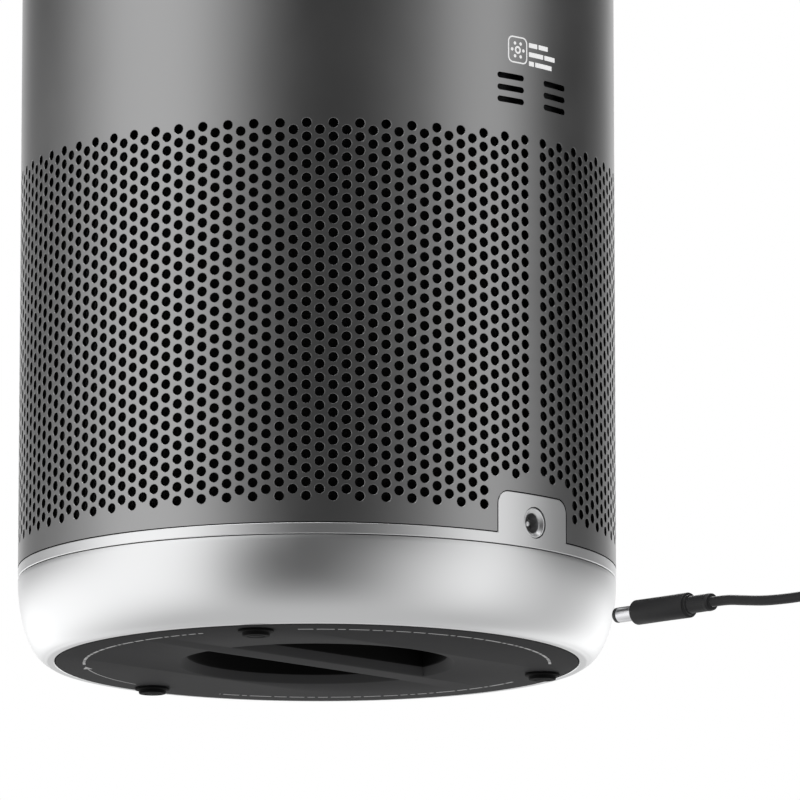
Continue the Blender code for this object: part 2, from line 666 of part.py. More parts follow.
def build_cover(plastic, rubber, carrier):
    """The twist-off cover: two half-moon finger pockets beside a bar, collar, lugs and feet."""
    boss = POCKET_RADIUS + POCKET_ROOF + POCKET_CHAMFER
    plate_top = COVER_FACE + COVER_THICKNESS
    collar_bore = COLLAR_RADIUS - COLLAR_WALL
    profile = [
        (0, COVER_FACE),
        (COVER_RADIUS - GAP, COVER_FACE),
        (COVER_RADIUS, COVER_FACE + GAP),
        (COVER_RADIUS, plate_top),
        (COLLAR_RADIUS, plate_top),
        (COLLAR_RADIUS, COVER_BOSS_TOP),
        (collar_bore, COVER_BOSS_TOP),
        (collar_bore, plate_top),
        (boss, plate_top),
        (boss - POCKET_CHAMFER, COVER_BOSS_TOP),
        (0, COVER_BOSS_TOP),
    ]
    cover = place("filter_cover", turned(profile), plastic, carrier)
    below = 1 * MM
    rim = POCKET_RADIUS + POCKET_CHAMFER
    roof = COVER_FACE + POCKET_DEPTH
    pockets = [
        (0, COVER_FACE - below),
        (rim + below, COVER_FACE - below),
        (POCKET_RADIUS, COVER_FACE + POCKET_CHAMFER),
        (POCKET_RADIUS, roof),
        (0, roof),
    ]
    pocket_tool = combine(cover, "finger_pockets", turned(pockets), "DIFFERENCE")
    bar = box((3 * rim, BAR_WIDTH, 3 * POCKET_DEPTH), (0, 0, COVER_FACE))
    combine(pocket_tool, "cover_bar", bar, "DIFFERENCE")
    lugs = bmesh.new()
    reach = COLLAR_RADIUS + LUG_REACH / 2 - COLLAR_WALL / 4
    lug_size = (LUG_REACH + COLLAR_WALL / 2, LUG_WIDTH, LUG_HEIGHT)
    lug_z = COVER_BOSS_TOP - LUG_DROP - LUG_HEIGHT / 2
    for angle in around(LUG_COUNT):
        one = bmesh.ops.create_cube(lugs, size=1)["verts"]
        bmesh.ops.scale(lugs, vec=lug_size, verts=one)
        bmesh.ops.translate(lugs, vec=(reach, 0, lug_z), verts=one)
        turn = Matrix.Rotation(angle, 3, "Z")
        bmesh.ops.rotate(lugs, verts=one, cent=(0, 0, 0), matrix=turn)
    combine(cover, "cover_lugs", lugs, "UNION")
    bore = COLLAR_RADIUS + GAP
    seat = plate_top + GAP
    seal = tube(bore, bore + COVER_SEAL_WIDTH, seat, seat + COVER_SEAL_HEIGHT)
    place("cover_seal", seal, rubber, carrier)
    flange = FOOT_HEIGHT / 2
    foot = [
        (0, 0),
        (FOOT_PAD_RADIUS, 0),
        (FOOT_PAD_RADIUS, flange),
        (FOOT_RADIUS, flange),
        (FOOT_RADIUS, FOOT_HEIGHT - GAP),
        (0, FOOT_HEIGHT - GAP),
    ]
    for number, angle in enumerate(around(FOOT_COUNT, math.radians(30)), 1):
        pad = turned(foot, SMALL_SEGMENTS)
        side = (FOOT_CIRCLE * math.cos(angle), FOOT_CIRCLE * math.sin(angle), 0)
        bmesh.ops.translate(pad, vec=side, verts=pad.verts)
        place(f"foot_{number}", pad, rubber, carrier)


def build_sensor(plastic):
    """The dust sensor behind the slots and the wiring cover behind the plain strip."""
    _, depth, height = SENSOR_SIZE
    back = DUCT_BORE + DUCT_WALL + SENSOR_GAP
    sensor = box(SENSOR_SIZE, (0, back + depth / 2, DECK_TOP + GAP + height / 2))
    place("dust_sensor", sensor, plastic, smooth=False)
    low = TAB_TOP + CHANNEL_GAP
    high = DECK_LOW - GAP
    size = (*CHANNEL_SIZE, high - low)
    middle = SHELL_BORE - CHANNEL_SIZE[1] / 2 - CHANNEL_GAP
    place("wire_cover", box(size, (0, middle, (low + high) / 2)), plastic, smooth=False)


def smooth_route(route, spacing):
    """Points of a Catmull-Rom curve through a route, about one every spacing."""
    points = [Vector(p) for p in route]
    points = [2 * points[0] - points[1], *points, 2 * points[-1] - points[-2]]
    made = []
    for a, b, c, d in zip(points, points[1:], points[2:], points[3:]):
        steps = max(1, round((c - b).length / spacing))
        for i in range(steps):
            t = i / steps
            bend = (2 * a - 5 * b + 4 * c - d) * t**2 + (3 * b - a - 3 * c + d) * t**3
            made.append(0.5 * (2 * b + (c - a) * t + bend))
    return [*made, points[-2]]


def cord_tube(name, route, material):
    """A round cord along a route, as a bevelled curve with capped ends."""
    curve = bpy.data.curves.new(name, "CURVE")
    curve.dimensions = "3D"
    curve.bevel_depth = CORD_RADIUS
    curve.bevel_resolution = 2
    curve.use_fill_caps = True
    points = smooth_route(route, CORD_POINT_EVERY)
    spline = curve.splines.new("POLY")
    spline.points.add(len(points) - 1)
    for target, point in zip(spline.points, points):
        target.co = (*point, 1)
    curve.materials.append(material)
    bpy.context.collection.objects.link(bpy.data.objects.new(name, curve))


def build_plug(black, chrome):
    """The barrel plug on the floor behind the inlet: tip ring, barrel, grip and sleeve."""
    axis = (0, PLUG_RADIUS)
    grip_start = PLUG_REACH + TIP_LENGTH + BARREL_LENGTH + 2 * GAP
    sleeve_start = grip_start + PLUG_LENGTH + GAP
    tip = tube(BARREL_BORE, BARREL_RADIUS, 0, TIP_LENGTH, SMALL_SEGMENTS)
    place("plug_tip", along_y(tip, axis, PLUG_REACH), black)
    barrel = tube(BARREL_BORE, BARREL_RADIUS, 0, BARREL_LENGTH, SMALL_SEGMENTS)
    place("plug_barrel", along_y(barrel, axis, PLUG_REACH + TIP_LENGTH + GAP), chrome)
    grip = [
        (0, 0),
        (PLUG_RADIUS - PLUG_EDGE, 0),
        (PLUG_RADIUS, PLUG_EDGE),
        (PLUG_RADIUS, PLUG_LENGTH - PLUG_EDGE),
        (PLUG_RADIUS - PLUG_EDGE, PLUG_LENGTH),
        (0, PLUG_LENGTH),
    ]
    place("plug_grip", along_y(turned(grip, SMALL_SEGMENTS), axis, grip_start), black)
    sleeve = rod(SLEEVE_RADIUS, 0, SLEEVE_LENGTH, CORD_SEGMENTS)
    place("plug_sleeve", along_y(sleeve, axis, sleeve_start), black)


def build_coil(black, white):
    """The tied coil that holds the rest of the lead, and the tail from it to the adapter."""
    low = COIL_TURN_RADIUS - COIL_HALF_WIDTH
    high = COIL_TURN_RADIUS + COIL_HALF_WIDTH
    edge = COIL_EDGE
    outline = [
        (low + edge, 0),
        (low, edge),
        (low, COIL_HEIGHT - edge),
        (low + edge, COIL_HEIGHT),
        (high - edge, COIL_HEIGHT),
        (high, COIL_HEIGHT - edge),
        (high, edge),
        (high - edge, 0),
    ]
    coil = turned(outline, MIDDLE_SEGMENTS)
    bmesh.ops.translate(coil, vec=(*COIL_CENTRE, 0), verts=coil.verts)
    place("cord_coil", coil, black)
    near = math.sqrt(low**2 - (TIE_WIDTH / 2) ** 2) - 2 * GAP
    far = high + 2 * GAP
    roof = COIL_HEIGHT + 2 * GAP
    wall = TIE_WALL
    inner = [(near, 0), (near, roof), (far, roof), (far, 0)]
    left = near - wall
    right = far + wall
    outer = [(right, 0), (right, roof + wall), (left, roof + wall), (left, 0)]
    tie = facing_back(extruded([[*inner, *outer]], -TIE_WIDTH / 2, TIE_WIDTH / 2))
    turn = Matrix.Translation((*COIL_CENTRE, 0)) @ Matrix.Rotation(TIE_ANGLE, 4, "Z")
    bmesh.ops.transform(tie, matrix=turn, verts=tie.verts)
    place("coil_tie", tie, white, smooth=False)


def build_adapter(black, brass):
    """The wall adapter lying on its side: case, back plate, two blades and cord relief."""
    width, length, height = ADAPTER_SIZE
    x, y = ADAPTER_CENTRE
    split = x - width / 2 + ADAPTER_CAP
    case_width = width - ADAPTER_CAP - GAP
    case_centre = (split + GAP + case_width / 2, y, height / 2)
    block = box((case_width, length, height), case_centre)
    case = place("adapter_case", block, black, smooth=False)
    back = box((ADAPTER_CAP, length, height), (split - ADAPTER_CAP / 2, y, height / 2))
    plate = place("adapter_plate", back, black, smooth=False)
    for piece, limit in ((case, ADAPTER_EDGE), (plate, ADAPTER_EDGE / 3)):
        bevel = piece.modifiers.new("edges", "BEVEL")
        bevel.width = limit
        bevel.segments = 2
    for number, side in enumerate((-1, 1), 1):
        centre = (
            split - ADAPTER_CAP - GAP - BLADE_SIZE[0] / 2,
            y + PRONG_OFFSET,
            height / 2 + side * PRONG_PITCH / 2,
        )
        place(f"adapter_prong_{number}", box(BLADE_SIZE, centre), brass, smooth=False)
    relief = [
        (0, 0),
        (RELIEF_RADIUS, 0),
        (CORD_RADIUS + RELIEF_WALL, RELIEF_LENGTH),
        (0, RELIEF_LENGTH),
    ]
    start = y + length / 2 + GAP
    taper = turned(relief, CORD_SEGMENTS)
    place("adapter_relief", along_y(taper, (x, RELIEF_HEIGHT), start), black)


def build():
    """Clears the scene and makes every sub-part."""
    for old in list(bpy.data.objects):
        bpy.data.objects.remove(old)
    shell_metal = finish("shell_metal", (0.13, 0.13, 0.135), 0.38, 0.85)
    silver = finish("silver", (0.68, 0.68, 0.69), 0.32, 0.9)
    cover_plastic = finish("cover_plastic", (0.06, 0.06, 0.062), 0.5)
    black = finish("black_plastic", (0.015, 0.015, 0.016), 0.45)
    inner_plastic = finish("inner_plastic", (0.03, 0.03, 0.03), 0.6)
    rubber = finish("rubber", (0.01, 0.01, 0.01), 0.8)
    glass = finish("screen_glass", (0.005, 0.005, 0.006), 0.08)
    steel = finish("steel", (0.55, 0.56, 0.57), 0.35, 1.0)
    chrome = finish("chrome", (0.8, 0.8, 0.81), 0.08, 1.0)
    board = finish("board", (0.02, 0.12, 0.05), 0.5)
    cap = finish("filter_cap", (0.04, 0.04, 0.045), 0.55)
    media = finish("filter_media", (0.8, 0.8, 0.78), 0.9)
    carbon = finish("carbon", (0.02, 0.02, 0.02), 0.95)
    mesh = finish("filter_mesh", (0.12, 0.12, 0.12), 0.8)
    foam = finish("foam", (0.03, 0.03, 0.03), 1.0)
    strap = finish("strap", (0.75, 0.75, 0.74), 0.9)
    brass = finish("brass", (0.7, 0.55, 0.25), 0.3, 1.0)

    build_skirt(silver)
    build_ring(silver, black)
    build_shell(shell_metal)
    build_top(silver, black, glass)
    build_cage(inner_plastic, steel)
    build_fan_housing(inner_plastic, steel, board)
    build_rotor(inner_plastic, steel, carrier_at("rotor_axis"))
    filter_axis = carrier_at("filter_axis")
    build_filter(cap, media, carbon, mesh, foam, strap, filter_axis)
    cover_axis = carrier_at("cover_axis")
    cover_axis.parent = filter_axis
    build_cover(cover_plastic, rubber, cover_axis)
    build_sensor(inner_plastic)
    build_plug(black, chrome)
    cord_tube("dc_lead", LEAD_ROUTE, black)
    build_coil(black, strap)
    cord_tube("dc_tail", TAIL_ROUTE, black)
    build_adapter(black, brass)


build()
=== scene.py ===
"""Looks and studio for a drum-shaped air purifier with a perforated metal body.

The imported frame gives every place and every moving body.  Each class below stands for one
sub-assembly: its fields are its sizes, and its methods build its pieces and give them their finish.
"""

import logging
import math
from collections.abc import Callable, Iterable, Sequence
from dataclasses import dataclass, field
from enum import Enum

import bpy
import numpy as np
from mathutils import Matrix, Vector
from mathutils.geometry import tessellate_polygon


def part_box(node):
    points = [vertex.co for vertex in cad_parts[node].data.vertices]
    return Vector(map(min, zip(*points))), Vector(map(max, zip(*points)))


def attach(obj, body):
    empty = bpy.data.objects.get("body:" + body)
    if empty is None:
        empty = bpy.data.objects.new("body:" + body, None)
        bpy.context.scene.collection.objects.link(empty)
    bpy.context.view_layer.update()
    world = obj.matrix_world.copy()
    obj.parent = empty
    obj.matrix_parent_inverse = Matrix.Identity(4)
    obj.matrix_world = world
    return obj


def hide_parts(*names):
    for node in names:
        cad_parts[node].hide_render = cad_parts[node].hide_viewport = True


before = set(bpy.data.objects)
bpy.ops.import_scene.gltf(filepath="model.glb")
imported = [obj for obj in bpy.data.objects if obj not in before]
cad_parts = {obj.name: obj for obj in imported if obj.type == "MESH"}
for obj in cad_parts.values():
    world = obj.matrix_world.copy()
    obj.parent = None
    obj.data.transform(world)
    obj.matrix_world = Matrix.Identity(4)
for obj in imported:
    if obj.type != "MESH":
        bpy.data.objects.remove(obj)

MM = 0.001
FULL_TURN = 2 * math.pi

log = logging.getLogger("purifier")

Pair = tuple[float, float]
Point = tuple[float, float, float]
Tone = tuple[float, float, float]


class Part(Enum):
    """The moving bodies that a piece can ride on."""

    HOUSING = "housing"
    ROTOR = "rotor"
    FILTER = "filter"
    COVER = "cover"


class Edge(Enum):
    """How sharply two faces must meet before their edge stays crisp when shaded."""

    SOFT = 62.0
    CRISP = 30.0


# ---------------------------------------------------------------- finishes


class NodeBench:
    """Puts shader nodes into one tree and joins them up."""

    def __init__(self, tree: bpy.types.NodeTree) -> None:
        """Start on an empty tree.

        Args:
            tree: The tree that the nodes go in.
        """
        self.tree = tree

    def add(self, kind: str, values: dict[str, object] | None = None, **settings: object) -> bpy.types.Node:
        """Add a node.

        Args:
            kind: Blender's name of the node type, without its prefix.
            values: Input sockets to set, by name.
            **settings: Properties of the node to set.

        Returns:
            The new node.
        """
        node = self.tree.nodes.new("ShaderNode" + kind)
        for key, value in settings.items():
            setattr(node, key, value)
        for key, value in (values or {}).items():
            node.inputs[key].default_value = value
        return node

    def join(self, source: bpy.types.NodeSocket, target: bpy.types.NodeSocket) -> None:
        """Link one socket to another."""
        self.tree.links.new(source, target)

    def place(self) -> bpy.types.NodeSocket:
        """Give the socket that holds a point's place on the piece."""
        return self.add("TexCoord").outputs["Object"]

    def grain(self, place: bpy.types.NodeSocket, size: float, detail: float = 2.0) -> bpy.types.NodeSocket:
        """Add a fine noise.

        Args:
            place: Socket with the point's place.
            size: Width of one speck in metres.
            detail: How many finer layers lie on top.

        Returns:
            The socket with the noise's strength, from 0 to 1.
        """
        noise = self.add("TexNoise", {"Scale": 1 / size, "Detail": detail, "Roughness": 0.55})
        self.join(place, noise.inputs["Vector"])
        return noise.outputs["Fac"]

    def spread(self, value: bpy.types.NodeSocket, low: float, high: float) -> bpy.types.NodeSocket:
        """Stretch the middle of a noise to run from low to high.

        Args:
            value: Socket with the noise.
            low: Result where the noise is weak.
            high: Result where the noise is strong.

        Returns:
            The socket with the stretched value.
        """
        span = self.add("MapRange", {"From Min": 0.3, "From Max": 0.7, "To Min": low, "To Max": high})
        self.join(value, span.inputs["Value"])
        return span.outputs["Result"]

    def blend(self, value: bpy.types.NodeSocket, dark: Tone, light: Tone) -> bpy.types.NodeSocket:
        """Run a colour between two tones.

        Args:
            value: Socket that chooses, 0 for the dark tone and 1 for the light one.
            dark: First tone.
            light: Second tone.

        Returns:
            The socket with the colour.
        """
        mix = self.add("Mix", data_type="RGBA")
        self.join(value, mix.inputs[0])
        # a Mix node names its colour sockets as it does its number ones, so they go by number
        mix.inputs[6].default_value = (*dark, 1)
        mix.inputs[7].default_value = (*light, 1)
        return mix.outputs[2]

    def emboss(self, heights: Iterable[tuple[bpy.types.NodeSocket, float]]) -> bpy.types.NodeSocket:
        """Stack several height maps into one bumpy normal.

        Args:
            heights: Sockets with a height from 0 to 1, each with its depth in metres.

        Returns:
            The socket with the normal.
        """
        normal = None
        for height, depth in heights:
            bump = self.add("Bump", {"Strength": 1.0, "Distance": depth})
            self.join(height, bump.inputs["Height"])
            if normal is not None:
                self.join(normal, bump.inputs["Normal"])
            normal = bump.outputs["Normal"]
        return normal

    def shader(self, **values: object) -> bpy.types.Node:
        """Add the surface shader and join it to the output.

        Args:
            **values: Shader sockets to set, with an underscore for a space.

        Returns:
            The shader node.
        """
        node = self.add("BsdfPrincipled")
        for key, value in values.items():
            node.inputs[key.replace("_", " ")].default_value = value
        out = self.add("OutputMaterial")
        self.join(node.outputs["BSDF"], out.inputs["Surface"])
        return node


@dataclass(frozen=True)
class Finish:
    """A finish that can be put on a piece."""

    name: str
    tone: Tone
    roughness: float

    def shade(self, amount: float) -> Tone:
        """Give the tone made lighter or darker by a factor."""
        return tuple(min(1.0, channel * amount) for channel in self.tone)

    def make(self) -> bpy.types.Material:
        """Make the material, or give the one made before.

        Returns:
            The material.
        """
        made = bpy.data.materials.get(self.name)
        if made is None:
            made = bpy.data.materials.new(self.name)
            made.use_nodes = True
            made.node_tree.nodes.clear()
            made.diffuse_color = (*self.tone, 1)
            self.dress(NodeBench(made.node_tree))
        return made

    def dress(self, bench: NodeBench) -> None:
        """Lay the finish's nodes out.

        Args:
            bench: Where the nodes go.
        """
        raise NotImplementedError


@dataclass(frozen=True)
class BlastedMetal(Finish):
    """Metal that was bead-blasted and anodised or plated: a fine satin with faint cloudiness."""

    bead: float = 0.22 * MM
    depth: float = 0.0025 * MM
    cloud: float = 45 * MM
    variation: float = 0.04

    def dress(self, bench: NodeBench) -> None:
        """Lay out the blasted grain, the cloudiness and the rub marks.

        Args:
            bench: Where the nodes go.
        """
        place = bench.place()
        shader = bench.shader(Metallic=1.0, Roughness=self.roughness)
        grain = bench.grain(place, self.bead, 3)
        cloud = bench.grain(place, self.cloud, 4)
        tone = bench.blend(cloud, self.shade(1 - self.variation), self.shade(1 + self.variation))
        bench.join(tone, shader.inputs["Base Color"])
        gloss = bench.spread(cloud, self.roughness - 0.02, self.roughness + 0.02)
        bench.join(gloss, shader.inputs["Roughness"])
        bench.join(bench.emboss([(grain, self.depth)]), shader.inputs["Normal"])


@dataclass(frozen=True)
class TurnedMetal(Finish):
    """Bright metal with fine tool marks that run round a turned piece or along a drawn one."""

    lay: Point = (1, 1, 40)
    mark: float = 0.9 * MM
    depth: float = 0.0015 * MM

    def dress(self, bench: NodeBench) -> None:
        """Lay out the tool marks, stretched across their lay.

        Args:
            bench: Where the nodes go.
        """
        shader = bench.shader(Metallic=1.0, Roughness=self.roughness)
        stretch = bench.add("Mapping")
        stretch.inputs["Scale"].default_value = self.lay
        bench.join(bench.place(), stretch.inputs["Vector"])
        marks = bench.grain(stretch.outputs["Vector"], self.mark, 3)
        bench.join(bench.blend(marks, self.shade(0.93), self.shade(1.05)), shader.inputs["Base Color"])
        bench.join(
            bench.spread(marks, self.roughness - 0.04, self.roughness + 0.05),
            shader.inputs["Roughness"]
        )
        bench.join(bench.emboss([(marks, self.depth)]), shader.inputs["Normal"])


@dataclass(frozen=True)
class MouldedPlastic(Finish):
    """Injection-moulded plastic with a spark-eroded grain and slightly uneven gloss."""

    grain: float = 0.35 * MM
    depth: float = 0.012 * MM
    cloud: float = 18 * MM
    gloss: float = 0.5

    def dress(self, bench: NodeBench) -> None:
        """Lay out the pitted grain, the pigment's variation and the uneven gloss.

        Args:
            bench: Where the nodes go.
        """
        place = bench.place()
        shader = bench.shader(Roughness=self.roughness, Specular_IOR_Level=self.gloss)
        pits = bench.add("TexVoronoi", {"Scale": 1 / self.grain, "Randomness": 1.0})
        bench.join(place, pits.inputs["Vector"])
        fine = bench.grain(place, self.grain * 0.6, 3)
        cloud = bench.grain(place, self.cloud, 5)
        tone = bench.blend(cloud, self.shade(0.9), self.shade(1.1))
        bench.join(tone, shader.inputs["Base Color"])
        bench.join(
            bench.spread(fine, self.roughness - 0.05, self.roughness + 0.06),
            shader.inputs["Roughness"]
        )
        relief = bench.emboss([(pits.outputs["Distance"], self.depth), (fine, self.depth * 0.5)])
        bench.join(relief, shader.inputs["Normal"])


@dataclass(frozen=True)
class Elastomer(Finish):
    """Soft rubber or cable jacket: dull, with a bloom of lighter dust and a faint orange peel."""

    peel: float = 0.5 * MM
    depth: float = 0.01 * MM
    bloom: float = 1.35
    gloss: float = 0.4

    def dress(self, bench: NodeBench) -> None:
        """Lay out the orange peel and the bloom.

        Args:
            bench: Where the nodes go.
        """
        place = bench.place()
        shader = bench.shader(Roughness=self.roughness, Specular_IOR_Level=self.gloss)
        peel = bench.grain(place, self.peel, 2)
        dust = bench.grain(place, 7 * MM, 6)
        bench.join(bench.blend(dust, self.shade(0.85), self.shade(self.bloom)), shader.inputs["Base Color"])
        bench.join(
            bench.spread(dust, self.roughness - 0.05, self.roughness + 0.08),
            shader.inputs["Roughness"]
        )
        bench.join(bench.emboss([(peel, self.depth)]), shader.inputs["Normal"])


@dataclass(frozen=True)
class Lacquer(Finish):
    """Printed ink or glossy lacquer with a very fine orange peel."""

    coat: float = 0.0
    glow: float = 0.0

    def dress(self, bench: NodeBench) -> None:
        """Lay out the ink's mottling, the gloss coat and any glow: real light for lit marks, painted glow for
        printed ink.

        Args:
            bench: Where the nodes go.
        """
        place = bench.place()
        shader = bench.shader(Roughness=self.roughness, Coat_Weight=self.coat, Coat_Roughness=0.04)
        mottle = bench.grain(place, 0.8 * MM, 4)
        bench.join(bench.blend(mottle, self.shade(0.93), self.shade(1.04)), shader.inputs["Base Color"])
        bench.join(bench.spread(mottle, self.roughness, self.roughness + 0.04), shader.inputs["Roughness"])
        bench.join(bench.emboss([(mottle, 0.002 * MM)]), shader.inputs["Normal"])
        # glow is real light for the screen's lit marks and painted light for printed ink, which is no lamp
        if self.glow:
            shader.inputs["Emission Color"].default_value = (*self.tone, 1)
            shader.inputs["Emission Strength"].default_value = self.glow


@dataclass(frozen=True)
class WovenMesh(Finish):
    """Fine woven or knitted net that wraps a filter: threads one way and across, with dark gaps."""

    pitch: float = 1.1 * MM
    depth: float = 0.12 * MM
    turns: int = 520

    def dress(self, bench: NodeBench) -> None:
        """Lay out the threads round the drum and up it, and the gaps between them.

        Args:
            bench: Where the nodes go.
        """
        place = bench.place()
        shader = bench.shader(Roughness=self.roughness, Sheen_Weight=0.25, Sheen_Roughness=0.4)
        axes = bench.add("SeparateXYZ")
        bench.join(place, axes.inputs["Vector"])
        angle = bench.add("Math", operation="ARCTAN2")
        bench.join(axes.outputs["Y"], angle.inputs[0])
        bench.join(axes.outputs["X"], angle.inputs[1])
        round_way = self.wave(bench, angle.outputs[0], self.turns)
        up_way = self.wave(bench, axes.outputs["Z"], FULL_TURN / self.pitch)
        weave = bench.add("Math", operation="MAXIMUM")
        bench.join(round_way, weave.inputs[0])
        bench.join(up_way, weave.inputs[1])
        gaps = bench.add("MapRange", {"From Min": 0.35, "From Max": 0.75})
        bench.join(weave.outputs[0], gaps.inputs["Value"])
        bench.join(
            bench.blend(gaps.outputs["Result"], self.shade(0.18), self.tone),
            shader.inputs["Base Color"]
        )
        fuzz = bench.grain(place, 0.2 * MM, 3)
        relief = bench.emboss([(weave.outputs[0], self.depth), (fuzz, self.depth * 0.2)])
        bench.join(relief, shader.inputs["Normal"])

    def wave(self, bench: NodeBench, value: bpy.types.NodeSocket, rate: float) -> bpy.types.NodeSocket:
        """Turn a running length into a row of threads.

        Args:
            bench: Where the nodes go.
            value: Socket with the length or angle.
            rate: Threads in a unit of it, times a full turn.

        Returns:
            The socket with each thread's height, from 0 to 1.
        """
        run = bench.add("Math", operation="MULTIPLY")
        bench.join(value, run.inputs[0])
        run.inputs[1].default_value = rate
        swing = bench.add("Math", operation="SINE")
        bench.join(run.outputs[0], swing.inputs[0])
        lift = bench.add("Math", operation="MULTIPLY_ADD")
        bench.join(swing.outputs[0], lift.inputs[0])
        lift.inputs[1].default_value = 0.5
        lift.inputs[2].default_value = 0.5
        return lift.outputs[0]


@dataclass(frozen=True)
class Fibre(Finish):
    """Felted fibres: filter paper, carbon granules or foam, by the size of the speck."""

    speck: float = 0.25 * MM
    depth: float = 0.05 * MM
    contrast: float = 0.15

    def dress(self, bench: NodeBench) -> None:
        """Lay out the felted specks in colour and in relief.

        Args:
            bench: Where the nodes go.
        """
        place = bench.place()
        shader = bench.shader(Roughness=self.roughness, Sheen_Weight=0.3, Sheen_Roughness=0.6)
        fibre = bench.grain(place, self.speck, 4)
        lumps = bench.add("TexVoronoi", {"Scale": 1 / (self.speck * 4)})
        bench.join(place, lumps.inputs["Vector"])
        tone = bench.blend(fibre, self.shade(1 - self.contrast), self.shade(1 + self.contrast))
        bench.join(tone, shader.inputs["Base Color"])
        relief = bench.emboss([(lumps.outputs["Distance"], self.depth), (fibre, self.depth * 0.5)])
        bench.join(relief, shader.inputs["Normal"])


@dataclass(frozen=True)
class CircuitBoard(Finish):
    """Solder-masked board with a faint lattice of tracks under the mask."""

    track: float = 1.6 * MM

    def dress(self, bench: NodeBench) -> None:
        """Lay out the tracks under the mask and the glass weave of the board.

        Args:
            bench: Where the nodes go.
        """
        place = bench.place()
        shader = bench.shader(Roughness=self.roughness, Coat_Weight=0.4, Coat_Roughness=0.15)
        tracks = bench.add("TexBrick", {"Scale": 1 / (self.track * 6), "Mortar Size": 0.08})
        bench.join(place, tracks.inputs["Vector"])
        bench.join(
            bench.blend(tracks.outputs["Fac"], self.tone, self.shade(1.8)),
            shader.inputs["Base Color"]
        )
        weave = bench.grain(place, 0.3 * MM, 2)
        relief = bench.emboss([(tracks.outputs["Fac"], 0.03 * MM), (weave, 0.01 * MM)])
        bench.join(relief, shader.inputs["Normal"])


@dataclass(frozen=True)
class Palette:
    """Every finish on the appliance."""

    body: Finish = BlastedMetal("body_anodised", (0.37, 0.37, 0.372), 0.33)
    # near-black inside and cut edges of the drum: painted shade in its holes and slots
    shade_lining: Finish = MouldedPlastic("painted_shade_lining", (0.003, 0.003, 0.003), 0.8, gloss=0.1)
    silver: Finish = BlastedMetal(
        "silver_plated", (0.86, 0.865, 0.87), 0.36, depth=0.0012 * MM, variation=0.015
    )
    cover: Finish = MouldedPlastic("cover_moulded", (0.042, 0.042, 0.043), 0.6, gloss=0.03)
    # near-black pocket walls and floors: painted shade in the recesses
    pocket: Finish = MouldedPlastic("pocket_painted_shade", (0.003, 0.003, 0.003), 0.6, gloss=0.05)
    black: Finish = MouldedPlastic("black_moulded", (0.012, 0.012, 0.013), 0.38, depth=0.006 * MM)
    inner: Finish = MouldedPlastic("inner_moulded", (0.016, 0.016, 0.018), 0.6)
    socket: Finish = MouldedPlastic("socket_moulded", (0.4, 0.4, 0.4), 0.4, depth=0.002 * MM)
    cap: Finish = MouldedPlastic("cap_moulded", (0.2, 0.2, 0.21), 0.55)
    rubber: Finish = Elastomer("foot_rubber", (0.004, 0.004, 0.004), 0.65, gloss=0.08)
    jacket: Finish = Elastomer(
        "cable_jacket", (0.011, 0.011, 0.012), 0.42, depth=0.004 * MM, bloom=1.15, gloss=0.3
    )
    glass: Finish = Lacquer("screen_glass", (0.004, 0.004, 0.005), 0.06, coat=1.0)
    touch: Finish = Lacquer("touch_lacquer", (0.008, 0.008, 0.009), 0.16, coat=0.6)
    # the badge's ink glows: painted light
    print_painted_glow: Finish = Lacquer("print_painted_glow", (0.92, 0.92, 0.92), 0.5, glow=0.42)
    print_touch: Finish = Lacquer("print_touch", (0.5, 0.5, 0.5), 0.45)
    print_cover: Finish = Lacquer("print_cover", (0.5, 0.5, 0.5), 0.5)
    lamp: Finish = Lacquer("lamp_lit", (0.75, 0.9, 1.0), 0.4, glow=1.6)
    steel: Finish = TurnedMetal("turned_steel", (0.6, 0.6, 0.61), 0.28)
    bright: Finish = TurnedMetal("nickel_plug", (0.8, 0.8, 0.82), 0.12, lay=(1, 60, 1))
    brass: Finish = TurnedMetal("brass_contact", (0.75, 0.56, 0.28), 0.25)
    board: Finish = CircuitBoard("circuit_board", (0.01, 0.09, 0.035), 0.4)
    paper: Finish = Fibre("filter_paper", (0.72, 0.72, 0.69), 0.9)
    carbon: Finish = Fibre(
        "carbon_granules", (0.012, 0.012, 0.012), 0.7, speck=0.5 * MM, depth=0.3 * MM, contrast=0.6
    )
    foam: Finish = Fibre("foam_seal", (0.02, 0.02, 0.02), 0.95, speck=0.4 * MM, depth=0.15 * MM, contrast=0.4)
    net: Finish = WovenMesh("filter_net", (0.012, 0.012, 0.013), 0.85)
    # near-black cloth behind the drum's holes: painted shade
    shade_scrim: Finish = WovenMesh("painted_shade_cloth", (0.004, 0.004, 0.004), 0.9)
    web: Finish = WovenMesh("strap_web", (0.24, 0.24, 0.25), 0.8, pitch=0.9 * MM, turns=2400)


FINISH = Palette()


# ---------------------------------------------------------------- making meshes


def fillet(corners: Sequence[tuple[float, float, float]], steps: int = 5) -> list[Pair]:
    """Round the corners of a closed outline.

    Args:
        corners: First and second place of each corner, and the radius to round it with.
        steps: Straight pieces in each round.

    Returns:
        The outline's points in order.
    """
    outline: list[Pair] = []
    count = len(corners)
    for index, (first, second, radius) in enumerate(corners):
        here = Vector((first, second))
        back = Vector(corners[index - 1][:2]) - here
        onward = Vector(corners[(index + 1) % count][:2]) - here
        if radius <= 0:
            outline.append((first, second))
            continue
        half = back.angle(onward) / 2
        reach = min(radius / math.tan(half), back.length * 0.49, onward.length * 0.49)
        radius = reach * math.tan(half)
        start, end = here + back.normalized() * reach, here + onward.normalized() * reach
        middle = here + (back.normalized() + onward.normalized()).normalized() * (radius / math.sin(half))
        first, last = start - middle, end - middle
        for step in range(steps + 1):
            share = step / steps
            way = first.slerp(last, share, first) if 0 < share < 1 else first.lerp(last, share)
            point = middle + way.normalized() * first.length
            outline.append((point.x, point.y))
    return outline


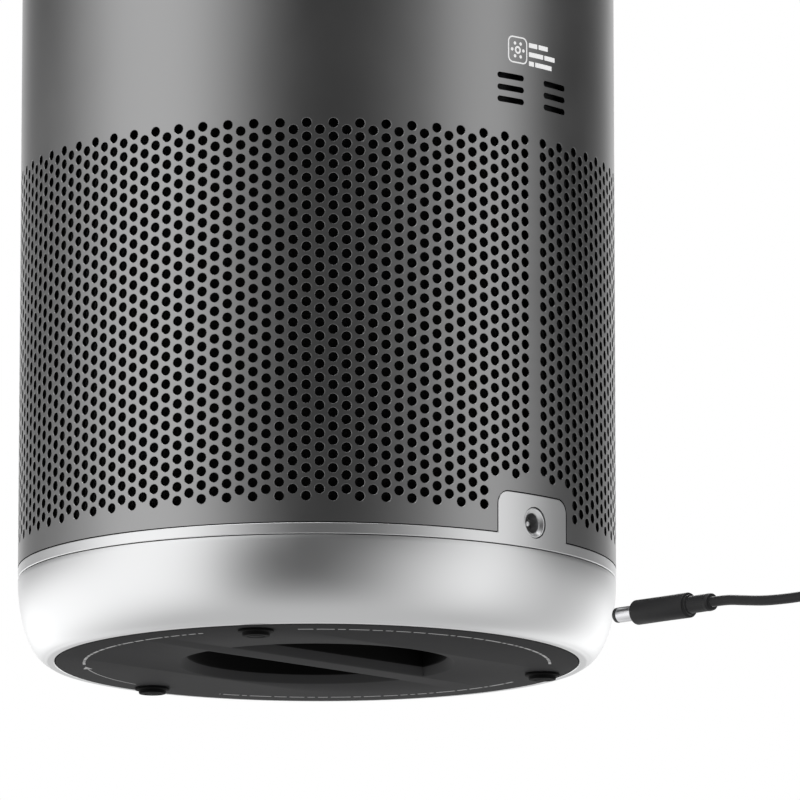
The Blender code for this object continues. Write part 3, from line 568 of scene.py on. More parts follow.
def rounded_rectangle(width: float, depth: float, radius: float, steps: int = 5) -> list[Pair]:
    """Give a rectangle with round corners, anticlockwise about the middle."""
    across, along = width / 2, depth / 2
    corners = [
        (across, -along, radius), (across, along, radius), (-across, along, radius),
        (-across, -along, radius)
    ]
    return fillet(corners, steps)


def circle(radius: float, sides: int, middle: Pair = (0, 0)) -> list[Pair]:
    """Give the points of a circle, anticlockwise."""
    turns = [FULL_TURN * index / sides for index in range(sides)]
    return [(middle[0] + radius * math.cos(turn), middle[1] + radius * math.sin(turn)) for turn in turns]


@dataclass
class Draft:
    """Points and faces of one piece, gathered before they become an object."""

    points: list[Point] = field(default_factory=list)
    faces: list[tuple[int, ...]] = field(default_factory=list)

    def ring(self, points: Iterable[Point]) -> list[int]:
        """Add points and give their numbers."""
        start = len(self.points)
        self.points.extend(tuple(point) for point in points)
        return list(range(start, len(self.points)))

    def band(self, lower: Sequence[int], upper: Sequence[int], closed: bool = True) -> None:
        """Join two rows of as many points with four-sided faces.

        Args:
            lower: Numbers of the first row's points.
            upper: Numbers of the second row's points.
            closed: Whether the rows run all the way round.
        """
        count = len(lower)
        for index in range(count if closed else count - 1):
            after = (index + 1) % count
            self.faces.append((lower[index], lower[after], upper[after], upper[index]))

    def loft(self, rows: Sequence[Sequence[Point]], capped: bool = True) -> None:
        """Join closed rows of points into a skin.

        Args:
            rows: The rows in order, each with as many points, anticlockwise seen from the last row's side.
            capped: Whether the first and last rows are closed with a flat face; if not, they are joined.
        """
        rings = [self.ring(row) for row in rows]
        for lower, upper in zip(rings, rings[1:]):
            self.band(lower, upper)
        if capped:
            self.faces.append(tuple(reversed(rings[0])))
            self.faces.append(tuple(rings[-1]))
        else:
            self.band(rings[-1], rings[0])

    def turn(self, outline: Sequence[Pair], sides: int, middle: Pair = (0, 0)) -> None:
        """Revolve a closed outline about an upright line.

        Args:
            outline: Radius and height of its points, clockwise with radius to the right; it may begin
                and end on the axis.
            sides: Sides of the turned piece.
            middle: Place of the axis.
        """
        rings = []
        for radius, height in outline:
            if radius < 1e-7:
                rings.append(self.ring([(middle[0], middle[1], height)]) * sides)
            else:
                rings.append(self.ring([(x, y, height) for x, y in circle(radius, sides, middle)]))
        for upper, lower in zip(rings, rings[1:] + rings[:1]):
            for index in range(sides):
                after = (index + 1) % sides
                face = dict.fromkeys((lower[index], lower[after], upper[after], upper[index]))
                if len(face) > 2:
                    self.faces.append(tuple(face))

    def move(self, matrix: Matrix, since: int = 0) -> None:
        """Move the points from a given number on by a matrix."""
        self.points[since:] = [tuple(matrix @ Vector(point)) for point in self.points[since:]]

    def piece(
        self, name: str, part: Part, finish: Finish, slot: str, edge: Edge = Edge.CRISP
    ) -> bpy.types.Object:
        """Make the object and put it on its body.

        Args:
            name: The piece's name.
            part: The body that it rides on.
            finish: Its finish.
            slot: A material slot's name; not used.
            edge: How sharp an edge must be to stay crisp.

        Returns:
            The new object.
        """
        mesh = bpy.data.meshes.new(name)
        mesh.from_pydata(self.points, [], self.faces)
        mesh.validate()
        mesh.shade_smooth()
        mesh.set_sharp_from_angle(angle=math.radians(edge.value))
        return settle(name, mesh, part, finish)


def settle(name: str, mesh: bpy.types.Mesh, part: Part, finish: Finish) -> bpy.types.Object:
    """Link a mesh as a piece, dress it and let it ride.

    Args:
        name: The piece's name.
        mesh: Its mesh.
        part: The body that it rides on.
        finish: Its finish.

    Returns:
        The new object.
    """
    made = bpy.data.objects.new(name, mesh)
    bpy.context.scene.collection.objects.link(made)
    mesh.materials.append(finish.make())
    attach(made, part.value)
    log.info("%s: %d faces on %s", name, len(mesh.polygons), part.value)
    return made


def inward(outline: Sequence[Pair], distance: float) -> list[Pair]:
    """Move each point of an anticlockwise outline inward.

    Args:
        outline: The outline's points.
        distance: How far in; a negative one moves outward.

    Returns:
        The moved points.
    """
    moved = []
    count = len(outline)
    for index in range(count):
        here = Vector(outline[index])
        back = (here - Vector(outline[index - 1])).normalized()
        onward = (Vector(outline[(index + 1) % count]) - here).normalized()
        lean = Vector((-(back + onward).y, (back + onward).x))
        if lean.length < 1e-9:
            lean = Vector((-onward.y, onward.x))
        lean.normalize()
        across = Vector((-onward.y, onward.x))
        point = here + lean * (distance / max(0.5, lean.dot(across)))
        moved.append((point.x, point.y))
    return moved


def dress_node(name: str, finish: Finish, rounding: float = 0.0) -> bpy.types.Object:
    """Give a node of the frame a finish.

    Args:
        name: The node.
        finish: Its finish.
        rounding: Radius to which its sharp edges are broken.

    Returns:
        The node's object.
    """
    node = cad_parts[name]
    node.data.materials.clear()
    node.data.materials.append(finish.make())
    if rounding:
        broken = node.modifiers.new("broken_edges", "BEVEL")
        broken.width, broken.segments, broken.limit_method = rounding, 2, "ANGLE"
        broken.angle_limit, broken.harden_normals = math.radians(28), True
    log.info("%s keeps its shape from the frame", name)
    return node


def span(node: str) -> tuple[Vector, Vector]:
    """Give the lowest and highest corner of a node of the frame."""
    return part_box(node)


# ---------------------------------------------------------------- studio


@dataclass
class Studio:
    """Camera, light and floor."""

    camera_place: Point = (2.1881, 2.1577, -0.4516)
    camera_aim: Point = (-0.02142, 0.02172, 0.1010)
    lens: float = 380.4
    facing: Pair = (0.7120, 0.7022)
    glow: float = 1.25
    bands: tuple[Pair, ...] = (
        (-180, 0.95), (-166, 0.8), (-150, 0.2), (-136, 0.08), (-120, 0.12), (-98, 0.45),
        (-84, 0.86), (-52, 0.9),
        (-36, 0.6), (-20, 0.2), (-6, 0.04), (22, 0.02), (42, 0.13), (56, 0.58), (75, 0.76), (88, 0.34),
        (102, 0.01), (128, 0.01), (146, 0.2), (162, 0.88), (180, 1.0),
    )
    low_bands: tuple[Pair, ...] = (
        (-180, 0.5), (-168, 0.6), (-152, 1.2), (-138, 1.0), (-120, 0.97), (-94, 0.88), (-62, 0.87),
        (-44, 0.78), (-34, 0.24),
        (-20, 0.0), (0, 0.0), (18, 0.16), (33, 0.42), (50, 0.7), (66, 0.88), (84, 0.58), (106, 0.38),
        (126, 0.52), (142, 1.05), (154, 1.25), (168, 0.6), (180, 0.5),
    )
    beneath: Tone = (0.42, 0.42, 0.42)
    floor_size: float = 9.0
    floor_tone: Tone = (0.9, 0.9, 0.9)
    floor_fade: Pair = (0.5, 3.2)

    def build(self) -> None:
        """Set the studio up."""
        bpy.context.scene.view_settings.view_transform = "Standard"
        self.set_camera()
        self.set_surround()
        self.hang_softboxes()
        self.lay_floor()

    def set_camera(self) -> None:
        """Put the camera low in front of the appliance, looking up at it."""
        optics = bpy.data.cameras.new("camera")
        optics.lens, optics.sensor_width = self.lens, 36
        optics.clip_start, optics.clip_end = 0.05, 60
        camera = bpy.data.objects.new("camera", optics)
        bpy.context.scene.collection.objects.link(camera)
        camera.location = self.camera_place
        gaze = Vector(self.camera_aim) - Vector(self.camera_place)
        camera.rotation_euler = gaze.to_track_quat("-Z", "Y").to_euler()
        bpy.context.scene.camera = camera

    def set_surround(self) -> None:
        """Wrap the studio in white, and light the appliance with tall soft bands of it."""
        world = bpy.data.worlds.new("studio")
        world.use_nodes = True
        bpy.context.scene.world = world
        world.node_tree.nodes.clear()
        bench = NodeBench(world.node_tree)
        ray = bench.add("TexCoord").outputs["Generated"]
        toward, across = self.facing
        front = self.reach(bench, ray, (toward, across, 0))
        side = self.reach(bench, ray, (-across, toward, 0))
        turn = bench.add("Math", operation="ARCTAN2")
        bench.join(side, turn.inputs[0])
        bench.join(front, turn.inputs[1])
        share = bench.add("MapRange", {"From Min": -math.pi, "From Max": math.pi})
        bench.join(turn.outputs[0], share.inputs["Value"])
        rise = bench.add("MapRange", {"From Min": 0.03, "From Max": 0.15})
        bench.join(self.reach(bench, ray, (0, 0, 1)), rise.inputs["Value"])
        dip = bench.add("MapRange", {"From Min": -0.3, "From Max": -0.8})
        bench.join(self.reach(bench, ray, (0, 0, 1)), dip.inputs["Value"])
        beneath = bench.add("Mix", data_type="RGBA")
        bench.join(dip.outputs["Result"], beneath.inputs[0])
        bench.join(self.ramp(bench, share.outputs["Result"], self.low_bands), beneath.inputs[6])
        beneath.inputs[7].default_value = (*self.beneath, 1)
        choice = bench.add("Mix", data_type="RGBA")
        bench.join(rise.outputs["Result"], choice.inputs[0])
        bench.join(beneath.outputs[2], choice.inputs[6])
        bench.join(self.ramp(bench, share.outputs["Result"], self.bands), choice.inputs[7])
        lamp = bench.add("Background", {"Strength": self.glow})
        bench.join(choice.outputs[2], lamp.inputs["Color"])
        plain = bench.add("Background", {"Color": (1, 1, 1, 1), "Strength": 1.0})
        seen = bench.add("LightPath")
        choose = bench.add("MixShader")
        bench.join(seen.outputs["Is Camera Ray"], choose.inputs[0])
        bench.join(lamp.outputs[0], choose.inputs[1])
        bench.join(plain.outputs[0], choose.inputs[2])
        out = bench.add("OutputWorld")
        bench.join(choose.outputs[0], out.inputs["Surface"])

    def ramp(
        self, bench: NodeBench, share: bpy.types.NodeSocket, bands: tuple[Pair, ...]
    ) -> bpy.types.NodeSocket:
        """Run a row of soft bands round the studio.

        Args:
            bench: Where the nodes go.
            share: Socket with the share of a full turn.
            bands: Bearing in degrees and brightness of each stop.

        Returns:
            The socket with the brightness.
        """
        ramp = bench.add("ValToRGB")
        ramp.color_ramp.interpolation = "EASE"
        stops = ramp.color_ramp.elements
        for index, (degrees, level) in enumerate(bands):
            ends = {0: stops[0], len(bands) - 1: stops[-1]}
            stop = ends.get(index) or stops.new((degrees + 180) / 360)
            stop.color = (level, level, level, 1)
        bench.join(share, ramp.inputs["Fac"])
        return ramp.outputs["Color"]

    def reach(self, bench: NodeBench, ray: bpy.types.NodeSocket, way: Point) -> bpy.types.NodeSocket:
        """Measure how far a ray points along a direction.

        Args:
            bench: Where the nodes go.
            ray: Socket with the ray.
            way: The direction.

        Returns:
            The socket with the length.
        """
        dot = bench.add("VectorMath", operation="DOT_PRODUCT")
        bench.join(ray, dot.inputs[0])
        dot.inputs[1].default_value = way
        return dot.outputs["Value"]

    def hang_softboxes(self) -> None:
        """Hang one large softbox overhead and a smaller one beside it."""
        for name, place, size, power in (
            ("softbox_overhead", (0.5, 0.2, 2.6), 2.4, 34.0),
            ("softbox_side", (-1.6, -1.7, 1.9), 1.2, 12.0),
        ):
            lamp = bpy.data.lights.new(name, "AREA")
            lamp.shape, lamp.size, lamp.energy = "SQUARE", size, power
            box = bpy.data.objects.new(name, lamp)
            bpy.context.scene.collection.objects.link(box)
            box.location = place
            gaze = Vector((0, 0.08, 0.15)) - Vector(place)
            box.rotation_euler = gaze.to_track_quat("-Z", "Y").to_euler()
            box.visible_camera = False

    def lay_floor(self) -> None:
        """Lay a pale floor that runs out into the white and is clear from below."""
        half = self.floor_size / 2
        sheet = Draft(
            [(x, y, -0.1 * MM) for x, y in ((-half, -half), (half, -half), (half, half), (-half, half))]
        )
        sheet.faces.append((0, 1, 2, 3))
        mesh = bpy.data.meshes.new("floor")
        mesh.from_pydata(sheet.points, [], sheet.faces)
        floor = bpy.data.objects.new("floor", mesh)
        bpy.context.scene.collection.objects.link(floor)
        material = bpy.data.materials.new("floor_pale")
        material.use_nodes = True
        material.node_tree.nodes.clear()
        bench = NodeBench(material.node_tree)
        paint = bench.add("BsdfDiffuse", {"Color": (*self.floor_tone, 1)})
        white = bench.add("Emission", {"Color": (1, 1, 1, 1), "Strength": 1.0})
        away = bench.add("VectorMath", operation="LENGTH")
        bench.join(bench.add("TexCoord").outputs["Object"], away.inputs[0])
        fade = bench.add("MapRange", {"From Min": self.floor_fade[0], "From Max": self.floor_fade[1]})
        bench.join(away.outputs["Value"], fade.inputs["Value"])
        ground = bench.add("MixShader")
        bench.join(fade.outputs["Result"], ground.inputs[0])
        bench.join(paint.outputs[0], ground.inputs[1])
        bench.join(white.outputs[0], ground.inputs[2])
        clear = bench.add("BsdfTransparent")
        seen, side = bench.add("LightPath"), bench.add("NewGeometry")
        above = bench.add("Math", operation="SUBTRACT", use_clamp=True)
        bench.join(seen.outputs["Is Camera Ray"], above.inputs[0])
        bench.join(side.outputs["Backfacing"], above.inputs[1])
        choose = bench.add("MixShader")
        bench.join(above.outputs[0], choose.inputs[0])
        bench.join(clear.outputs[0], choose.inputs[1])
        bench.join(ground.outputs[0], choose.inputs[2])
        out = bench.add("OutputMaterial")
        bench.join(choose.outputs[0], out.inputs["Surface"])
        mesh.materials.append(material)


# ---------------------------------------------------------------- lead


def smooth_route(stops: Sequence[Point], every: float) -> list[Vector]:
    """Run a smooth line through some stops.

    Args:
        stops: The places to pass through.
        every: Distance between the points along it.

    Returns:
        The points along it.
    """
    knots = [Vector(stop) for stop in stops]
    knots = [knots[0] * 2 - knots[1], *knots, knots[-1] * 2 - knots[-2]]
    route = [knots[1]]
    for before, start, end, after in zip(knots, knots[1:], knots[2:], knots[3:]):
        steps = max(2, round((end - start).length / every))
        for step in range(1, steps + 1):
            t = step / steps
            route.append(
                0.5 * (2 * start + (end - before) * t + (2 * before - 5 * start + 4 * end - after) * t**2
                       + (3 * start - before - 3 * end + after) * t**3)
            )
    return route


@dataclass
class Lead:
    """The power lead: barrel plug, cable in a tied coil, and the wall adapter."""

    length: float = 1.5
    jacket: float = 1.8 * MM
    lead_route: tuple[Point, ...] = (
        (0, 0.1954, 0.0045), (0, 0.203, 0.0043), (0, 0.211, 0.0033), (0, 0.220, 0.0023), (0, 0.230, 0.0019),
        (0, 0.239, 0.0019), (0, 0.2472, 0.0019),
    )
    tail_route: tuple[Point, ...] = (
        (-0.0406, 0.2878, 0.0122), (-0.047, 0.2882, 0.0096), (-0.055, 0.288, 0.0054),
        (-0.064, 0.2868, 0.0032),
        (-0.073, 0.2834, 0.0042), (-0.080, 0.2774, 0.008), (-0.0834, 0.2716, 0.0112), (-0.084, 0.2668, 0.012),
    )
    coil_middle: Pair = (-0.0258, 0.262)
    coil_wide: float = 25.85 * MM
    coil_narrow: float = 16.6 * MM
    layers: int = 4
    turns_each: float = 2.5625
    climb: float = 0.3
    per_turn: int = 40

    def build(self) -> None:
        """Build the whole lead."""
        metal = self.plug_metal()
        grip = self.plug_grip()
        tie = self.tie()
        others = self.adapter()
        cable = self.cable()
        for piece in (*metal, *grip, cable, tie, *others):
            piece.visible_glossy = False  # the polished skirt would mirror them as dark smudges

    def axis(self, since: float) -> Matrix:
        """Give the move that lays an upright turned piece along the plug's line from a place on it."""
        low, high = span("plug_grip")
        return Matrix.Translation(((low.x + high.x) / 2, since, (low.z + high.z) / 2)) @ Matrix.Rotation(
            -math.pi / 2, 4, "X"
        )

    def plug_metal(self) -> list[bpy.types.Object]:
        """Build the plug's insulating tip, its plated barrel and the contact inside it.

        Returns:
            The pieces.
        """
        tip_low, tip_high = span("plug_tip")
        low, high = span("plug_barrel")
        outer, bore = (high.x - low.x) / 2, 1.05 * MM
        long = high.y - low.y
        tip = Draft()
        nose = tip_high.y - tip_low.y
        rim = outer * 0.98
        tip.turn(fillet([(bore, 0, 0.2 * MM), (bore, nose, 0), (rim, nose, 0), (rim, 0, 0.5 * MM)]), 64)
        tip.move(self.axis(tip_low.y))
        ring = tip.piece("plug_insulator", Part.HOUSING, FINISH.black, "black_plastic")
        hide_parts("plug_tip")
        barrel = Draft()
        wall = 0.35 * MM
        barrel.turn(
            fillet([
                (outer - wall, 0, 0.1 * MM), (outer - wall, long, 0), (outer, long, 0), (outer, 0, 0.15 * MM)
            ]), 64,
        )
        barrel.turn(
            fillet([(bore, 0.1 * MM, 0), (bore, long, 0), (outer - wall - 0.02 * MM, long, 0),
                    (outer - wall - 0.02 * MM, 0.1 * MM, 0)]), 48,
        )
        barrel.move(self.axis(low.y))
        shine = barrel.piece("plug_barrel_plated", Part.HOUSING, FINISH.bright, "chrome")
        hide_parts("plug_barrel")
        return [ring, shine]

    def plug_grip(self) -> list[bpy.types.Object]:
        """Build the moulded grip and the sleeve behind it.

        Returns:
            The pieces.
        """
        low, high = span("plug_grip")
        radius, long = (high.x - low.x) / 2, high.y - low.y
        grip = Draft()
        grip.turn(
            fillet([
                (radius * 0.8, long, 0), (radius * 0.8, long - 0.7 * MM, 0.2 * MM),
                (radius, long - 0.7 * MM, 0.7 * MM), (radius * 0.985, long * 0.5, 0),
                (radius * 0.99, 0, 1.3 * MM), (radius * 0.68, 0, 0.2 * MM),
                (radius * 0.66, 0.25 * MM, 0.1 * MM), (0, 0.25 * MM, 0), (0, long, 0),
            ]), 72,
        )
        grip.move(self.axis(low.y))
        body = grip.piece("plug_grip_moulded", Part.HOUSING, FINISH.jacket, "black_plastic", Edge.CRISP)
        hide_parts("plug_grip")
        low, high = span("plug_sleeve")
        thick, long = (high.x - low.x) / 2, high.y - low.y
        sleeve = Draft()
        outline = [(self.jacket + 0.1 * MM, 0, 0), (self.jacket + 0.1 * MM, long, 0.15 * MM)]
        outline += [(thick * 0.93, long, 0.5 * MM), (thick, long - 1.6 * MM, 0.4 * MM)]
        outline += [(thick * 0.97, long - 2.6 * MM, 0.4 * MM), (thick * 0.97, 0, 0)]
        sleeve.turn(fillet(outline), 56)
        sleeve.move(self.axis(low.y))
        relief = sleeve.piece("plug_sleeve_moulded", Part.HOUSING, FINISH.jacket, "black_plastic")
        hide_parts("plug_sleeve")
        return [body, relief]

    def coil(self) -> list[Point]:
        """Wind the unused length in layers.

        Returns:
            The points along the winding.
        """
        total = self.layers * self.turns_each
        floor, step = self.lead_route[-1][2], 2 * self.jacket
        points = []
        for index in range(1, round(total * self.per_turn) + 1):
            turn = index / self.per_turn
            layer = min(self.layers - 1, int(turn / self.turns_each))
            inside = turn - layer * self.turns_each
            hold = self.climb / 2
            first, last = (0 if layer == 0 else hold), (0 if layer == self.layers - 1 else hold)
            share = min(1, max(0, (inside - first) / (self.turns_each - first - last)))
            if layer % 2:
                share = 1 - share
            radius = self.coil_wide + (self.coil_narrow - self.coil_wide) * share
            lift = float(layer)
            if layer and inside < hold:
                lift += 0.5 * (inside / hold) - 0.5
            elif layer < self.layers - 1 and self.turns_each - inside < hold:
                lift += 0.5 - 0.5 * (self.turns_each - inside) / hold
            angle = FULL_TURN * turn
            points.append((
                self.coil_middle[0] + radius * math.cos(angle),
                self.coil_middle[1] + radius * math.sin(angle),
                floor + lift * step,
            ))
        return points

    def cable(self) -> bpy.types.Object:
        """Run the cable from the plug through its coil to the adapter.

        Returns:
            The cable.
        """
        start = smooth_route(self.lead_route, 2.5 * MM)
        bridge = smooth_route([*self.lead_route[-2:], self.coil()[0]], 2.5 * MM)
        wound = [Vector(point) for point in self.coil()]
        end = smooth_route([self.coil()[-2], self.coil()[-1], *self.tail_route], 2.5 * MM)
        gate = len(smooth_route(self.lead_route[-2:], 2.5 * MM))
        route = [*start, *bridge[gate:], *wound[1:], *end[2:]]
        line = bpy.data.curves.new("dc_cable", "CURVE")
        line.dimensions = "3D"
        line.bevel_depth, line.bevel_resolution, line.use_fill_caps = self.jacket, 5, True
        spline = line.splines.new("POLY")
        spline.points.add(len(route) - 1)
        for knot, place in zip(spline.points, route):
            knot.co = (*place, 1)
        cable = bpy.data.objects.new("dc_cable", line)
        bpy.context.scene.collection.objects.link(cable)
        line.materials.append(FINISH.jacket.make())
        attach(cable, Part.HOUSING.value)
        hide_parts("dc_lead", "cord_coil", "dc_tail")
        measured = sum((after - before).length for before, after in zip(route, route[1:]))
        log.info("dc_cable: %.3f m over %d points", measured, len(route))
        return cable

    def tie(self) -> bpy.types.Object:
        """Dress the frame's strap, a loop round the coil that stands on the floor, with its ridged tail.

        Returns:
            The strap.
        """
        return dress_node("coil_tie", FINISH.web, 0.25 * MM)

    def adapter(self) -> list[bpy.types.Object]:
        """Build the wall adapter with its seam, its contact plate and its blades.

        Returns:
            The pieces.
        """
        shells = [
            dress_node("adapter_case", FINISH.black, 0.7 * MM),
            dress_node("adapter_plate", FINISH.black, 0.5 * MM)
        ]
        blades = []
        for index in (1, 2):
            low_b, high_b = span(f"adapter_prong_{index}")
            blade = Draft()
            hub = (low_b + high_b) / 2
            across = rounded_rectangle(high_b.y - low_b.y, high_b.z - low_b.z, 0.25 * MM, 3)
            tip = 0.8 * MM
            rows = []
            for out, inset in ((0, 0.45 * MM), (tip * 0.3, 0.2 * MM), (tip, 0.0), (high_b.x - low_b.x, 0.0)):
                rows.append([(low_b.x + out, hub.y + a, hub.z + b) for a, b in inward(across, inset)])
            blade.loft(rows)
            made = blade.piece(f"adapter_blade_{index}", Part.HOUSING, FINISH.brass, "brass")
            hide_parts(f"adapter_prong_{index}")
            blades.append(made)
        low_r, high_r = span("adapter_relief")
        relief = Draft()
        long = high_r.y - low_r.y
        thick, thin = (high_r.x - low_r.x) / 2, 2.2 * MM
        ribs = 5
        profile: list[Pair] = [(0, long), (thin, long)]
        for rib in range(ribs):
            start, end = long * (1 - rib / ribs), long * (1 - (rib + 0.62) / ribs)
            here = thin + (thick - thin) * rib / ribs
            profile += [(here, start - 0.2 * MM), (here + 0.1 * MM, end), (here - 0.5 * MM, end - 0.1 * MM)]
            profile += [(here - 0.5 * MM, long * (1 - (rib + 1) / ribs) + 0.3 * MM)]
        profile += [(thick, 0.2 * MM), (thick, 0), (0, 0)]
        relief.turn(profile, 40)
        relief.move(Matrix.Translation(((low_r.x + high_r.x) / 2, low_r.y, (low_r.z + high_r.z) / 2))
                    @ Matrix.Rotation(-math.pi / 2, 4, "X"))
        cuff = relief.piece("adapter_relief_ribbed", Part.HOUSING, FINISH.jacket, "black_plastic")
        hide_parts("adapter_relief")
        return [*shells, *blades, cuff]


# ---------------------------------------------------------------- curved sheet metal


@dataclass
class CurvedSheet:
    """A sheet rolled to a drum and laid out flat: its points are an angle from the inlet and a height."""

    radius: float
    wall: float
    chamfer: float = 0.1 * MM
    flat: list[Pair] = field(default_factory=list)
    known: dict[tuple[int, int], int] = field(default_factory=dict)
    faces: list[tuple[int, ...]] = field(default_factory=list)
    holes: list[tuple[Pair, list[int]]] = field(default_factory=list)

    def spot(self, angle: float, height: float) -> int:
        """Give the number of the point at an angle and height, made once.

        Args:
            angle: Angle from the inlet in degrees.
            height: Height in metres.

        Returns:
            The point's number.
        """
        key = (round(angle * 1e4), round(height * 1e7))
        if key not in self.known:
            self.known[key] = len(self.flat)
            self.flat.append((math.radians(angle), height))
        return self.known[key]

    def patch(self, corners: Iterable[Pair]) -> None:
        """Add a face by its corners, anticlockwise seen from outside."""
        self.faces.append(tuple(self.spot(angle, height) for angle, height in corners))

    def bored(
        self, centre: Pair, half_angle: float, half_height: float, bore: float, sides: int = 12
    ) -> None:
        """Add a rectangle with a round hole in its middle.

        Args:
            centre: Angle in degrees and height of its middle.
            half_angle: Half its width in degrees.
            half_height: Half its height.
            bore: The hole's radius.
            sides: Sides of the hole, a multiple of four.
        """
        angle, height = centre
        rim = []
        for index in range(sides):
            turn = FULL_TURN * index / sides
            reach = bore + self.chamfer
            rim.append(len(self.flat))
            self.flat.append(
                (math.radians(angle) + reach * math.cos(turn) / self.radius, height + reach * math.sin(turn))
            )
        self.holes.append(((math.radians(angle), height), rim))
        steps = ((1, 0), (1, 1), (0, 1), (-1, 1), (-1, 0), (-1, -1), (0, -1), (1, -1))
        around = [self.spot(angle + a * half_angle, height + b * half_height) for a, b in steps]
        for quarter in range(4):
            side, corner, top = (around[(2 * quarter + step) % 8] for step in range(3))
            inner = [rim[(3 * quarter + step) % sides] for step in range(4)]
            self.faces += [
                (side, corner, inner[1], inner[0]), (corner, inner[2], inner[1]),
                (corner, top, inner[3], inner[2])
            ]

    def solid(
        self, name: str, part: Part, finish: Finish, shade_lining: Finish | None = None
    ) -> bpy.types.Object:
        """Give the flat layout its wall, roll it up and make the piece.

        Args:
            name: The piece's name.
            part: The body that it rides on.
            finish: Its finish.
            shade_lining: Another finish for the inside and for the cut edges: near-black, painted shade that
                makes the holes and slots read dark.

        Returns:
            The new object.
        """
        flat = np.array(self.flat)
        count = len(flat)
        turn = flat[:, 0] + math.pi / 2
        radial = np.stack([np.cos(turn), np.sin(turn), np.zeros(count)], 1)
        inner_flat = flat.copy()
        bore_way = np.zeros((count, 3))
        for (angle, height), rim in self.holes:
            offset = flat[rim] - (angle, height)
            reach = np.hypot(offset[:, 0] * self.radius, offset[:, 1])[:, None]
            inner_flat[rim] = (angle, height) + offset * (reach - self.chamfer) / reach
            around = np.stack([-np.sin(turn[rim]), np.cos(turn[rim]), np.zeros(len(rim))], 1)
            bore_way[rim] = -(
                around * offset[:, :1] * self.radius + np.array([0, 0, 1]) * offset[:, 1:]
            ) / reach
        inner_turn = inner_flat[:, 0] + math.pi / 2

        def rolled(radius: float, turns: np.ndarray, heights: np.ndarray) -> np.ndarray:
            """Roll a layout up at a radius."""
            return np.stack([radius * np.cos(turns), radius * np.sin(turns), heights], 1)

        rims = np.array([index for _, rim in self.holes for index in rim], int)
        outer = rolled(self.radius, turn, flat[:, 1])
        inner = rolled(self.radius - self.wall, inner_turn, inner_flat[:, 1])
        middle = rolled(self.radius - self.chamfer, inner_turn[rims], inner_flat[rims, 1])
        points = np.concatenate([outer, inner, middle])
        lip = {int(index): 2 * count + order for order, index in enumerate(rims)}
        faces: list[tuple[int, ...]] = []
        normals: list[np.ndarray] = []
        in_rim = set(lip)
        edges: dict[tuple[int, int], int] = {}
        for face in self.faces:
            faces.append(face)
            normals.append(radial[list(face)])
            for start, end in zip(face, face[1:] + face[:1]):
                edges[start, end] = 1
        for face in self.faces:
            back = tuple(reversed(face))
            faces.append(tuple(index + count for index in back))
            normals.append(-radial[list(back)])
        slope = radial + bore_way
        slope /= np.maximum(np.linalg.norm(slope, axis=1), 1e-9)[:, None]
        for _, rim in self.holes:
            for start, end in zip(rim, rim[1:] + rim[:1]):
                faces.append((start, end, lip[end], lip[start]))
                normals.append(slope[[start, end, end, start]])
                faces.append((lip[start], lip[end], end + count, start + count))
                normals.append(bore_way[[start, end, end, start]])
        for start, end in edges:
            if (end, start) not in edges and not (start in in_rim and end in in_rim):
                face = (end, start, start + count, end + count)
                across = np.cross(points[face[1]] - points[face[0]], points[face[3]] - points[face[0]])
                faces.append(face)
                normals.append(np.tile(across / max(np.linalg.norm(across), 1e-12), (4, 1)))
        mesh = bpy.data.meshes.new(name)
        mesh.from_pydata(points.tolist(), [], faces)
        mesh.update()
        mesh.shade_smooth()
        mesh.normals_split_custom_set(np.concatenate(normals).tolist())
        made = settle(name, mesh, part, finish)
        if shade_lining:
            mesh.materials.append(shade_lining.make())
            # the inside and the cut walls take the near-black finish as painted shade; the holes' chamfers keep
            # the outer finish
            painted_shade_faces = np.zeros(len(faces), np.int32)
            painted_shade_faces[len(self.faces):] = 1
            painted_shade_faces[len(self.faces) * 2:len(self.faces) * 2 + 2 * len(rims):2] = 0
            mesh.polygons.foreach_set("material_index", painted_shade_faces)
        return made


